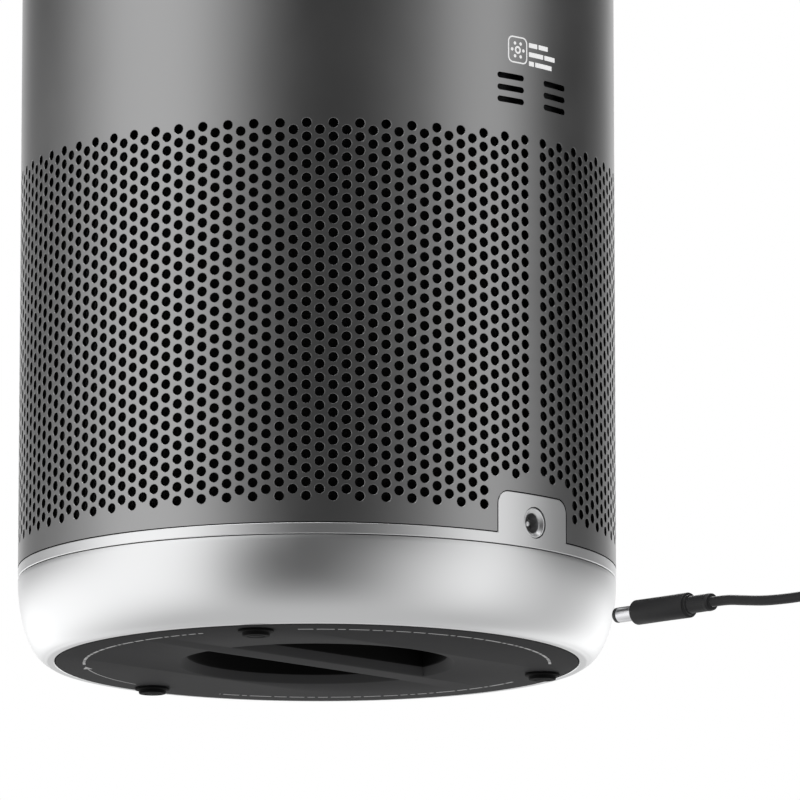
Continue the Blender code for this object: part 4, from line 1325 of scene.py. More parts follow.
@dataclass
class Shell:
    """The drum: rolled metal with a field of holes, a notch for the inlet and the sensor's slots."""

    column_step: float = 1.25
    columns: int = 144
    first_row: float = 46.7 * MM
    pitch: float = 5.02 * MM
    rows: int = 28
    bore: float = 1.84 * MM
    tab_half_width: float = 17.9 * MM
    tab_top: float = 52.5 * MM
    tab_corner: float = 5.0 * MM
    gap: float = 0.3 * MM
    slot_offset: float = 11.5 * MM
    slot_length: float = 12.6 * MM
    slot_height: float = 2.2 * MM
    slot_pitch: float = 4.4 * MM
    slot_middle: float = 200.3 * MM
    slot_rows: Pair = (190.0 * MM, 211.0 * MM)
    block: int = 9
    split: int = 33

    def build(self) -> None:
        """Build both halves of the drum, the near-black cloth behind them that puts painted shade behind the
        holes, and the printed marks.
        """
        low, high = span("outer_shell")
        self.low, self.high = low.z, high.z
        self.radius = high.y
        for name, first in (("drum_front", self.split - self.columns), ("drum_back", self.split)):
            sheet = CurvedSheet(self.radius, 1.4 * MM)
            for line in range(first, first + self.columns, 2):
                self.column(sheet, line)
            if first < 0:
                self.notch(sheet)
                self.slots(sheet)
            piece = sheet.solid(name, Part.HOUSING, FINISH.body, FINISH.shade_lining)
        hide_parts("outer_shell")
        self.shade_scrim()
        self.marks()

    def column(self, sheet: CurvedSheet, line: int) -> None:
        """Lay out one column of holes with the plain bands under and over it.

        Args:
            sheet: The layout.
            line: The column's left edge, counted in steps from the inlet.
        """
        number = (line + 1) // 2
        number = (number + self.columns // 2) % self.columns - self.columns // 2
        half = self.pitch / 2
        bottom, top = self.first_row - half, self.first_row + (self.rows - 0.5) * self.pitch
        near = abs(number) * 2 < self.block
        middle = (line + 1) * self.column_step
        staggered = number % 2 == 0
        if near:
            start = self.first_row + 2 * self.pitch
        else:
            start = bottom
            self.plain(sheet, line, self.low, bottom)
        if number == 0:
            level = start
            while level < top - 1e-6:
                self.plain(sheet, line, level, level + half)
                level += half
        else:
            first = self.first_row + (half if staggered else 0)
            rows = self.rows - (1 if staggered else 0)
            skipped = 0 if not near else 2 if staggered else 3
            floor = first - half + skipped * self.pitch
            if floor > start + 1e-6:
                self.plain(sheet, line, start, floor)
            for row in range(skipped, rows):
                sheet.bored((middle, first + row * self.pitch), self.column_step, half, self.bore)
            ceiling = first - half + rows * self.pitch
            if ceiling < top - 1e-6:
                self.plain(sheet, line, ceiling, top)
        self.plain(sheet, line, top, self.slot_rows[0])
        if not near:
            self.plain(sheet, line, *self.slot_rows)
        self.plain(sheet, line, self.slot_rows[1], self.high)

    def plain(self, sheet: CurvedSheet, line: int, low: float, high: float) -> None:
        """Lay out a plain stretch of a column between two heights."""
        for step in (line, line + 1):
            left = [(self.line_angle(step, level), level) for level in (low, high)]
            right = [(self.line_angle(step + 1, level), level) for level in (low, high)]
            sheet.patch([left[0], right[0], right[1], left[1]])

    def line_angle(self, line: int, level: float) -> float:
        """Give the angle of a line, drawn in a little where it would graze a slot's round end."""
        if abs(line) == 7 and self.slot_rows[0] - 1e-7 <= level <= self.slot_rows[1] + 1e-7:
            return math.copysign(8.6, line)
        return line * self.column_step

    def tilt(self, across: float) -> float:
        """Give the angle in degrees at which the drum is a distance off the inlet's plane."""
        return math.degrees(math.asin(across / self.radius))

    def notch(self, sheet: CurvedSheet) -> None:
        """Lay out the metal round the notch for the inlet's tab.

        Args:
            sheet: The layout.
        """
        half, top, corner = (
            side + self.gap for side in (self.tab_half_width, self.tab_top, self.tab_corner)
        )
        ceiling = self.first_row + 2 * self.pitch
        rise = [self.first_row + (step - 1) * self.pitch / 2 for step in range(6)]

        def brow(across: float) -> float:
            """Give the notch's height at a distance off its middle."""
            over = max(0.0, across - (half - corner))
            return top - corner + math.sqrt(max(0.0, corner**2 - over**2))

        round_off = [
            (self.tilt(half - corner + corner * math.cos(turn)), top - corner + corner * math.sin(turn))
            for turn in (math.pi / 2 * step / 8 for step in range(9))
        ]
        edge = self.tilt(half)
        for sign in (1, -1):
            for line in range(self.block):
                near, far = line * self.column_step, (line + 1) * self.column_step
                if near >= edge:
                    outline = [(near, self.low), (far, self.low)]
                    outline += [(far, level) for level in rise] if line + 1 == self.block else []
                else:
                    outline = [(near, brow(self.radius * math.sin(math.radians(near))))]
                    outline += [
                        spot for spot in reversed(round_off) if near + 1e-6 < spot[0] < min(far, edge + 1e-9)
                    ]
                    if far > edge:
                        if abs(outline[-1][0] - edge) > 1e-6:
                            outline.append(round_off[0])
                        outline += [(edge, self.low), (far, self.low)]
                    else:
                        outline.append((far, brow(self.radius * math.sin(math.radians(far)))))
                outline += [(far, ceiling), (near, ceiling)]
                self.mirrored(sheet, outline, sign)

    def mirrored(self, sheet: CurvedSheet, outline: list[Pair], sign: int) -> None:
        """Add a face, or its mirror image on the inlet's other side."""
        face = [(angle * sign, height) for angle, height in outline]
        sheet.patch(face if sign > 0 else reversed(face))

    def slots(self, sheet: CurvedSheet) -> None:
        """Lay out the two groups of slots in front of the dust sensor.

        Args:
            sheet: The layout.
        """
        low, high = self.slot_rows
        half = self.slot_height / 2
        straight = self.slot_length / 2 - half
        levels = [self.slot_middle + row * self.slot_pitch for row in (-1, 0, 1)]
        for sign in (1, -1):
            for line in range(self.block):
                near, far = self.line_angle(line, low), self.line_angle(line + 1, low)
                if line in (2, 7):
                    outward = 1 if line == 7 else -1
                    outline = [(near, low), (far, low)] if outward < 0 else [(far, high), (near, high)]
                    mouth = far if outward < 0 else near
                    for level in levels if outward < 0 else reversed(levels):
                        arc = [-math.pi / 2 + math.pi * step / 8 for step in range(9)]
                        if outward < 0:
                            outline.append((mouth, level - half))
                            outline += [(self.tilt(self.slot_offset - straight - half * math.cos(turn)),
                                         level + half * math.sin(turn)) for turn in arc]
                            outline.append((mouth, level + half))
                        else:
                            outline.append((mouth, level + half))
                            outline += [(self.tilt(self.slot_offset + straight + half * math.cos(turn)),
                                         level - half * math.sin(turn)) for turn in arc]
                            outline.append((mouth, level - half))
                    outline += [(far, high), (near, high)] if outward < 0 else [(near, low), (far, low)]
                    self.mirrored(sheet, outline, sign)
                elif 2 < line < 7:
                    stops = [low, *(level + side * half for level in levels for side in (-1, 1)), high]
                    for bottom, top in zip(stops[::2], stops[1::2]):
                        self.mirrored(sheet, [(near, bottom), (far, bottom), (far, top), (near, top)], sign)
                else:
                    self.mirrored(sheet, [(near, low), (far, low), (far, high), (near, high)], sign)

    def shade_scrim(self) -> None:
        """Stand a near-black cloth just inside the drum, open round the inlet's socket: a dark sheet that puts
        painted shade behind the holes.
        """
        outer, high = self.radius - 3.2 * MM, span("fan_deck")[0].z - 0.5 * MM
        inner, door = outer - 0.4 * MM, 13
        cloth = Draft()
        for first, last, low in ((door, 360 - door, 38 * MM), (-door, door, 56 * MM)):
            rows = []
            for degrees in range(first, last + 1, 2):
                turn = math.radians(90 + degrees)
                rows.append([(radius * math.cos(turn), radius * math.sin(turn), level)
                             for radius, level in ((inner, low), (inner, high), (outer, high), (outer, low))])
            cloth.loft(rows)
        # a dark sheet that stands in for the shade seen through the holes
        cloth.piece("painted_shade_scrim", Part.HOUSING, FINISH.shade_scrim, "filter_mesh")

    def marks(self) -> None:
        """Print the sensor's round-cornered badge and three plain lines beside it, in ink that glows faintly:
        painted light.
        """
        print_height = 215.0 * MM
        badge = Draft()
        middle = -8.2 * MM
        outer, inner = rounded_rectangle(9.4 * MM, 9.9 * MM, 2.2 * MM, 8), rounded_rectangle(
            8.4 * MM, 8.9 * MM, 1.75 * MM, 8
        )
        self.print_loop(badge, middle, print_height, outer, inner)
        self.print_loop(badge, middle, print_height, circle(1.45 * MM, 32), circle(0.75 * MM, 32))
        for turn in range(6):
            dot = circle(
                0.62 * MM, 14,
                (2.75 * MM * math.cos(turn * math.pi / 3), 2.75 * MM * math.sin(turn * math.pi / 3))
            )
            self.print_patch(badge, middle, print_height, dot)
        for row, stops in enumerate(((0, 4.4, 5.1, 10.2), (0, 7.6, 8.3, 14.2), (0, 2.6, 3.3, 12.4))):
            level = 2.6 * MM - row * 3.4 * MM
            for start, end in zip(stops[::2], stops[1::2]):
                bar = [(start * MM, level - 0.85 * MM), (end * MM, level - 0.85 * MM),
                       (end * MM, level + 0.85 * MM), (start * MM, level + 0.85 * MM)]
                self.print_patch(badge, -2.6 * MM, print_height, bar)
        # the badge's ink glows a little: painted light, not a lamp
        badge.piece("sensor_badge", Part.HOUSING, FINISH.print_painted_glow, "silver")

    def on_drum(self, across: float, height: float, proud: float) -> Point:
        """Give a place on the drum a distance along it from the inlet's plane."""
        turn = math.pi / 2 + across / self.radius
        reach = self.radius + proud
        return (reach * math.cos(turn), reach * math.sin(turn), height)

    def print_loop(
        self, ink: Draft, across: float, height: float, outer: list[Pair], inner: list[Pair]
    ) -> None:
        """Print the band between two outlines.

        Args:
            ink: The draft that it goes in.
            across: The outlines' middle along the drum.
            height: Their middle's height.
            outer: The larger outline.
            inner: The smaller one, with as many points.
        """
        rows = [
            [self.on_drum(across + a, height + b, proud) for a, b in outline]
            for outline,
            proud in ((outer, 0.004 * MM), (outer, 0.03 * MM), (inner, 0.03 * MM), (inner, 0.004 * MM))
        ]
        ink.loft(rows, capped=False)

    def print_patch(self, ink: Draft, across: float, height: float, outline: list[Pair]) -> None:
        """Print a filled outline.

        Args:
            ink: The draft that it goes in.
            across: The outline's middle along the drum.
            height: Its middle's height.
            outline: Its points, anticlockwise.
        """
        bars = [outline]
        wide = max(a for a, _ in outline) - min(a for a, _ in outline)
        if len(outline) == 4 and wide > 2 * MM:
            (left, low), (right, _), (_, high), _ = outline
            cuts = [left + (right - left) * step / 6 for step in range(7)]
            bars = [[(a, low) for a in cuts] + [(a, high) for a in reversed(cuts)]]
        for bar in bars:
            rows = [
                [self.on_drum(across + a, height + b, proud) for a, b in bar]
                for proud in (0.004 * MM, 0.03 * MM)
            ]
            ink.loft(rows)


# ---------------------------------------------------------------- base


@dataclass
class Base:
    """The plated skirt and ring at the foot of the drum, with the inlet in the ring's tab."""

    wall: float = 2.4 * MM
    tab_half_width: float = 17.9 * MM
    tab_top: float = 52.5 * MM
    tab_corner: float = 5.0 * MM
    step: float = 1.25

    def build(self) -> None:
        """Build the skirt, the ring with its tab, and the inlet."""
        self.skirt()
        self.ring()
        self.inlet()

    def skirt(self) -> None:
        """Turn the skirt, which draws in to a thin bright lip at the floor."""
        low, high = span("base_skirt")
        radius, tuck, tall = high.x, 12.5 * MM, high.z - low.z
        bend = [math.pi / 2 * step / 28 for step in range(29)]
        outer = [(radius - tuck + tuck * math.cos(turn), high.z - tall * math.sin(turn)) for turn in bend]
        outer = [(r, z) for r, z in outer if z > low.z + 0.25 * MM]
        inner = [
            (radius - tuck + (tuck - self.wall) * math.cos(turn), high.z - (tall - self.wall) * math.sin(turn))
            for turn in bend
        ]
        lip = 96.4 * MM
        inner = [(r, z) for r, z in inner if r > lip + 1.2 * MM]
        outline = [(radius - 0.25 * MM, high.z), *outer[1:]]
        outline += [
            (outer[-1][0] - 0.5 * MM, low.z + 0.05 * MM), (outer[-1][0] - 0.9 * MM, low.z),
            (lip + 0.25 * MM, low.z)
        ]
        outline += [(lip, low.z + 0.25 * MM), (lip, low.z + 3.2 * MM)]
        outline += list(reversed(inner))
        outline += [(radius - self.wall, high.z)]
        outline[1:1] = [(radius - 0.04 * MM, high.z - 0.1 * MM), (radius, high.z - 0.3 * MM)]
        outline = [spot for index, spot in enumerate(outline) if index < 3 or spot[1] <= high.z]
        draft = Draft()
        draft.turn(outline, 288)
        piece = draft.piece("skirt_plated", Part.HOUSING, FINISH.silver, "silver", Edge.CRISP)
        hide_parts("base_skirt")

    def ring(self) -> None:
        """Roll the ring with its tab, round its edges over and bore the inlet's hole."""
        low, high = span("base_ring")
        radius = high.x
        bottom, rim = low.z, 37.1 * MM
        sheet = CurvedSheet(radius, self.wall)
        half, corner = self.tab_half_width, self.tab_corner
        edge = math.degrees(math.asin(half / radius))
        turns = [math.pi / 2 * step / 8 for step in range(9)]
        shoulder = [(math.degrees(math.asin((half - corner + corner * math.cos(turn)) / radius)),
                     self.tab_top - corner + corner * math.sin(turn)) for turn in turns]
        for line in range(144):
            near, far = line * self.step, (line + 1) * self.step
            for sign in (1, -1):
                if near >= edge:
                    outline = [(near, bottom), (far, bottom), (far, rim), (near, rim)]
                elif far > edge:
                    outline = [(near, bottom), (far, bottom), (far, rim), (edge, rim)]
                    outline += [
                        spot for spot in shoulder if spot[0] > near
                    ] + [(near, self.brow(near, radius))]
                else:
                    outline = [(near, bottom), (far, bottom), (far, self.brow(far, radius))]
                    outline += [
                        spot for spot in shoulder if near < spot[0] < far
                    ] + [(near, self.brow(near, radius))]
                face = [(angle * sign, height) for angle, height in outline]
                sheet.patch(face if sign > 0 else reversed(face))
        piece = sheet.solid("ring_with_tab", Part.HOUSING, FINISH.silver)
        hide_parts("base_ring")
        rounding = piece.modifiers.new("edges", "BEVEL")
        rounding.width, rounding.segments, rounding.limit_method = 0.3 * MM, 3, "ANGLE"
        rounding.angle_limit, rounding.harden_normals = math.radians(50), True
        drill = Draft()
        inlet_low, inlet_high = span("inlet_bezel")
        bore = (inlet_high.x - inlet_low.x) / 2 + 0.05 * MM
        drill.turn([(0, 0), (0, 40 * MM), (bore, 40 * MM), (bore, 0)], 64)
        drill.move(
            Matrix.Translation((0, radius - 20 * MM, (inlet_low.z + inlet_high.z) / 2))
            @ Matrix.Rotation(-math.pi / 2, 4, "X")
        )
        cutter_mesh = bpy.data.meshes.new("drill")
        cutter_mesh.from_pydata(drill.points, [], drill.faces)
        cutter = bpy.data.objects.new("drill", cutter_mesh)
        bpy.context.scene.collection.objects.link(cutter)
        hole = piece.modifiers.new("inlet", "BOOLEAN")
        hole.object, hole.solver, hole.operation = cutter, "EXACT", "DIFFERENCE"
        shaped = bpy.data.meshes.new_from_object(piece.evaluated_get(bpy.context.evaluated_depsgraph_get()))
        piece.modifiers.clear()
        piece.data = shaped
        bpy.data.objects.remove(cutter)

    def brow(self, angle: float, radius: float) -> float:
        """Give the tab's height at an angle from the inlet."""
        over = max(0.0, radius * math.sin(math.radians(angle)) - (self.tab_half_width - self.tab_corner))
        return self.tab_top - self.tab_corner + math.sqrt(max(0.0, self.tab_corner**2 - over**2))

    def inlet(self) -> None:
        """Build the inlet: its dished bezel, the insulating cup behind it and the contact pin."""
        low, high = span("inlet_bezel")
        outer, level = (high.x - low.x) / 2, (low.z + high.z) / 2
        long = high.y - low.y
        lay = Matrix.Rotation(-math.pi / 2, 4, "X")
        bezel = Draft()
        outer -= 0.28 * MM
        outline = [
            (3.5 * MM, 0, 0), (outer, 0, 0), (outer, long, 0.3 * MM),
            (outer - 0.55 * MM, long, 0.2 * MM)
        ]
        outline += [(outer - 0.8 * MM, long - 0.2 * MM, 0.1 * MM), (3.95 * MM, long - 0.75 * MM, 0.1 * MM)]
        outline += [(3.7 * MM, long - 0.95 * MM, 0.1 * MM), (3.5 * MM, long - 1.35 * MM, 0.1 * MM)]
        bezel.turn(list(reversed(fillet(outline))), 72)
        bezel.move(Matrix.Translation((0, low.y, level)) @ lay)
        ring = bezel.piece("inlet_bezel_dished", Part.HOUSING, FINISH.silver, "silver", Edge.CRISP)
        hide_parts("inlet_bezel")
        pin_low, pin_high = span("inlet_pin")
        pin = Draft()
        reach = (pin_high.x - pin_low.x) / 2
        pin.turn(list(reversed(fillet([(0, 0, 0), (reach, 0, 0), (reach, pin_high.y - pin_low.y, reach * 0.9),
                                       (0, pin_high.y - pin_low.y, 0)], 8))), 32)
        pin.move(Matrix.Translation(((pin_low.x + pin_high.x) / 2, pin_low.y, level)) @ lay)
        contact = pin.piece("inlet_pin_plated", Part.HOUSING, FINISH.silver, "silver", Edge.SOFT)
        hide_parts("inlet_pin")
        dress_node("inlet_jack", FINISH.socket)


# ---------------------------------------------------------------- cover under the filter


@dataclass
class Cover:
    """The twist-off cover under the filter, with two finger pockets, printed marks and rubber feet."""

    pocket_radius: float = 51 * MM
    chamfer: float = 3 * MM
    depth: float = 12 * MM
    bar: float = 11 * MM
    thickness: float = 2.6 * MM
    mark_radius: float = 85.5 * MM

    def build(self) -> None:
        """Build the cover, its marks and its feet."""
        low, high = span("filter_cover")
        self.radius, self.face, self.top = 96.0 * MM, low.z, high.z
        self.plate()
        self.marks()
        for index in (1, 2, 3):
            self.foot(index)
        dress_node("cover_seal", FINISH.foam)

    def pocket_outline(self, radius: float, bar: float, round_off: float) -> list[Pair]:
        """Give half a disc beside the bar, with round corners.

        Args:
            radius: The disc's radius.
            bar: Width of the bar.
            round_off: Radius of the corners.

        Returns:
            The outline of the pocket on the +Y side.
        """
        level = bar / 2
        start = math.asin(level / radius)
        arc = [start + (math.pi - 2 * start) * step / 56 for step in range(57)]
        corners = [(radius * math.cos(turn), radius * math.sin(turn), 0) for turn in arc]
        corners[0] = (*corners[0][:2], round_off)
        corners[-1] = (*corners[-1][:2], round_off)
        outline = fillet(corners, 4)
        return outline

    def plate(self) -> None:
        """Build the cover's plate with its pockets, rim and collar; the pockets' walls and floors take a
        near-black finish, painted shade in the recesses.
        """
        draft = Draft()
        rim, top = self.radius, self.face + self.thickness
        mouths: list[list[int]] = []
        for sign in (1, -1):
            rings = []
            wide = self.pocket_outline(self.pocket_radius, self.bar, 2.2 * MM)
            for inset, rise in (
                (0.0, 0.0), (0.35 * MM, 0.12 * MM), (0.9 * MM, 0.6 * MM),
                (self.chamfer * 0.8, self.chamfer * 0.75),
                (self.chamfer, self.chamfer), (self.chamfer + 0.25 * MM, self.chamfer + 0.6 * MM),
                (self.chamfer + 0.7 * MM, self.depth - 1.2 * MM),
                (self.chamfer + 1.1 * MM, self.depth - 0.35 * MM),
                (self.chamfer + 1.9 * MM, self.depth),
            ):
                outline = inward(wide, inset)
                rings.append(draft.ring([(a * sign, b * sign, self.face + rise) for a, b in outline]))
            for outer, inner in zip(rings, rings[1:]):
                draft.band(inner, outer)
            draft.faces.append(tuple(reversed(rings[-1])))
            mouths.append(rings[0])
        edge = [
            (rim - 0.5 * MM, self.face), (rim - 0.15 * MM, self.face + 0.15 * MM), (rim, self.face + 0.5 * MM),
            (rim, top - 0.3 * MM), (rim - 0.3 * MM, top), (90 * MM, top), (90 * MM, self.top - 0.3 * MM),
            (89.7 * MM, self.top), (87.3 * MM, self.top), (87 * MM, self.top - 0.3 * MM), (87 * MM, top),
        ]
        rows = [draft.ring([(x, y, z) for x, y in circle(r, 192)]) for r, z in edge]
        for lower, upper in zip(rows, rows[1:]):
            draft.band(lower, upper)
        self.fill_face(draft, rows[0], mouths)
        boss = circle(self.pocket_radius + 2 * MM, 120)
        roof = self.face + self.depth + 2 * MM
        foot_ring = draft.ring([(x, y, top) for x, y in boss])
        crown = draft.ring([(x, y, roof - 0.4 * MM) for x, y in boss])
        lid = draft.ring([(x * 0.992, y * 0.992, roof) for x, y in boss])
        draft.band(foot_ring, crown)
        draft.band(crown, lid)
        draft.faces.append(tuple(lid))
        self.fill_between(draft, rows[-1], foot_ring)
        piece = draft.piece("cover_moulding", Part.COVER, FINISH.cover, "cover_plastic", Edge.CRISP)
        # the pockets' walls and floors below the chamfer take the near-black finish: painted shade
        piece.data.materials.append(FINISH.pocket.make())
        shade_from = self.face + self.chamfer * 0.9
        for face in piece.data.polygons:
            x, y, z = face.center
            if shade_from < z < self.face + self.depth + 0.5 * MM and math.hypot(x, y) < self.pocket_radius:
                face.material_index = 1
        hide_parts("filter_cover")

    def fill_face(self, draft: Draft, rim: list[int], holes: list[list[int]]) -> None:
        """Close the cover's underside between its rim and the pockets.

        Args:
            draft: The cover's draft.
            rim: Numbers of the rim's points.
            holes: Numbers of each pocket's mouth.
        """
        loops = [list(reversed(rim)), *[list(hole) for hole in holes]]
        flat = [index for loop in loops for index in loop]
        for face in tessellate_polygon([[Vector(draft.points[index]) for index in loop] for loop in loops]):
            corners = [flat[index] for index in face]
            first, second, third = (Vector(draft.points[index]) for index in corners)
            if (second - first).cross(third - first).z > 0:
                corners.reverse()
            draft.faces.append(tuple(corners))

    def fill_between(self, draft: Draft, outer: list[int], inner: list[int]) -> None:
        """Close a flat ring between two circles with unequal numbers of sides.

        Args:
            draft: The draft.
            outer: Numbers of the outer circle's points.
            inner: Numbers of the inner circle's points.
        """
        a, b = 0, 0
        while a < len(outer) or b < len(inner):
            if b >= len(inner) or (a < len(outer) and a * len(inner) <= b * len(outer)):
                draft.faces.append(
                    (outer[a % len(outer)], outer[(a + 1) % len(outer)], inner[b % len(inner)])
                )
                a += 1
            else:
                draft.faces.append(
                    (outer[a % len(outer)], inner[(b + 1) % len(inner)], inner[b % len(inner)])
                )
                b += 1

    def marks(self) -> None:
        """Print the rows of short dashes round the cover and the arrow that shows which way it turns."""
        ink = Draft()
        words = (5, 9, 2, 4, 2, 3, 6, 7, 3, 8, 4, 3, 6, 5, 9, 2, 7)
        for start, end in ((40, 134), (166, 250), (313, 376)):
            turn, order = float(start), start
            while turn < end:
                long = words[order % len(words)] * 0.62
                order += 1
                stop = min(end, turn + long)
                self.arc_bar(ink, self.mark_radius, 0.5 * MM, turn, stop)
                turn = stop + 0.8
        self.arc_bar(ink, self.mark_radius, 0.22 * MM, 277, 306)
        head = []
        for reach, degrees in ((0, 309.5), (1.7 * MM, 305.5), (-1.7 * MM, 305.5)):
            turn = math.radians(degrees)
            radius = self.mark_radius + reach
            head.append((radius * math.cos(turn), radius * math.sin(turn)))
        ink.loft([[(x, y, self.face - 0.004 * MM) for x, y in reversed(head)],
                  [(x, y, self.face - 0.03 * MM) for x, y in reversed(head)]])
        ink.piece("cover_marks", Part.COVER, FINISH.print_cover, "silver")

    def arc_bar(self, ink: Draft, radius: float, half: float, start: float, end: float) -> None:
        """Print a bar along the cover's edge.

        Args:
            ink: The draft.
            radius: Its middle's distance from the axis.
            half: Half its width.
            start: Where it starts, in degrees.
            end: Where it ends.
        """
        steps = max(1, round((end - start) / 1.5))
        turns = [math.radians(start + (end - start) * step / steps) for step in range(steps + 1)]
        path = [((radius + half) * math.cos(turn), (radius + half) * math.sin(turn)) for turn in turns]
        path += [
            ((radius - half) * math.cos(turn), (radius - half) * math.sin(turn)) for turn in reversed(turns)
        ]
        ink.loft([[(x, y, self.face - 0.004 * MM) for x, y in reversed(path)],
                  [(x, y, self.face - 0.03 * MM) for x, y in reversed(path)]])

    def foot(self, index: int) -> None:
        """Turn one rubber foot with its flange and its dished pad.

        Args:
            index: The foot's number.
        """
        low, high = span(f"foot_{index}")
        middle = ((low.x + high.x) / 2, (low.y + high.y) / 2)
        radius, tall = (high.x - low.x) / 2, high.z - low.z
        pad = radius * 0.77
        draft = Draft()
        outline = [
            (0, low.z, 0), (pad * 0.5, low.z, 0), (pad * 0.6, low.z + 0.25 * MM, 0.2 * MM),
            (pad * 0.7, low.z, 0.2 * MM)
        ]
        outline += [(pad, low.z, 0.35 * MM), (pad + 0.15 * MM, low.z + tall * 0.6, 0.3 * MM)]
        outline += [(radius, low.z + tall * 0.68, 0.3 * MM), (radius, high.z, 0), (0, high.z, 0)]
        draft.turn(list(reversed(fillet(outline, 4))), 48, middle)
        piece = draft.piece(f"foot_{index}_rubber", Part.COVER, FINISH.rubber, "rubber")
        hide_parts(f"foot_{index}")


# ---------------------------------------------------------------- turned pieces from the frame


def profile_of(node: str) -> tuple[list[Pair], Pair]:
    """Find the outline of a turned node of the frame.

    Args:
        node: The node, turned about an upright axis.

    Returns:
        The closed outline as radius and height, anticlockwise with radius to the right, and the axis.
    """
    low, high = span(node)
    middle = ((low.x + high.x) / 2, (low.y + high.y) / 2)
    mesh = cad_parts[node].data
    cut: dict[int, Pair] = {}
    for vertex in mesh.vertices:
        x, y = vertex.co.x - middle[0], vertex.co.y - middle[1]
        if abs(y) < 2e-6 and x > -2e-6:
            cut[vertex.index] = (round(max(0.0, x), 7), round(vertex.co.z, 7))
    beside: dict[Pair, set[Pair]] = {place: set() for place in cut.values()}
    for edge in mesh.edges:
        first, second = (cut.get(index) for index in edge.vertices)
        if first and second and first != second:
            beside[first].add(second)
            beside[second].add(first)
    place = min(beside, key=lambda spot: (len(beside[spot]), spot))
    outline = [place]
    while True:
        ahead = [spot for spot in beside[place] if spot not in outline]
        if not ahead:
            break
        place = min(ahead, key=lambda spot: len(beside[spot]))
        outline.append(place)
    if len(outline) < 3 or outline[0] not in beside[outline[-1]]:
        outline += [(0.0, outline[-1][1]), (0.0, outline[0][1])]
    area = sum(a[0] * b[1] - b[0] * a[1] for a, b in zip(outline, outline[1:] + outline[:1]))
    return (outline if area > 0 else outline[::-1]), middle


def turn_again(
    node: str, name: str, part: Part, finish: Finish, slot: str, rounding: float = 0.4 * MM, sides: int = 144
) -> bpy.types.Object:
    """Turn a node of the frame again, finely and with its edges rounded.

    Args:
        node: The node that it stands for.
        name: The new piece's name.
        part: The body that it rides on.
        finish: Its finish.
        slot: A material slot's name, passed on and not used.
        rounding: Radius of its edges.
        sides: Sides of the turned piece.

    Returns:
        The new piece.
    """
    outline, middle = profile_of(node)
    corners = []
    for index, (radius, height) in enumerate(outline):
        here = Vector((radius, height))
        back = Vector(outline[index - 1]) - here
        onward = Vector(outline[(index + 1) % len(outline)]) - here
        sharp = radius > 1e-6 and back.length > 0 and onward.length > 0 and back.angle(
            onward
        ) < math.radians(150)
        corners.append((radius, height, rounding if sharp else 0.0))
    draft = Draft()
    draft.turn(list(reversed(fillet(corners, 3))), sides, middle)
    piece = draft.piece(name, part, finish, slot)
    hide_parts(node)
    return piece


# ---------------------------------------------------------------- top


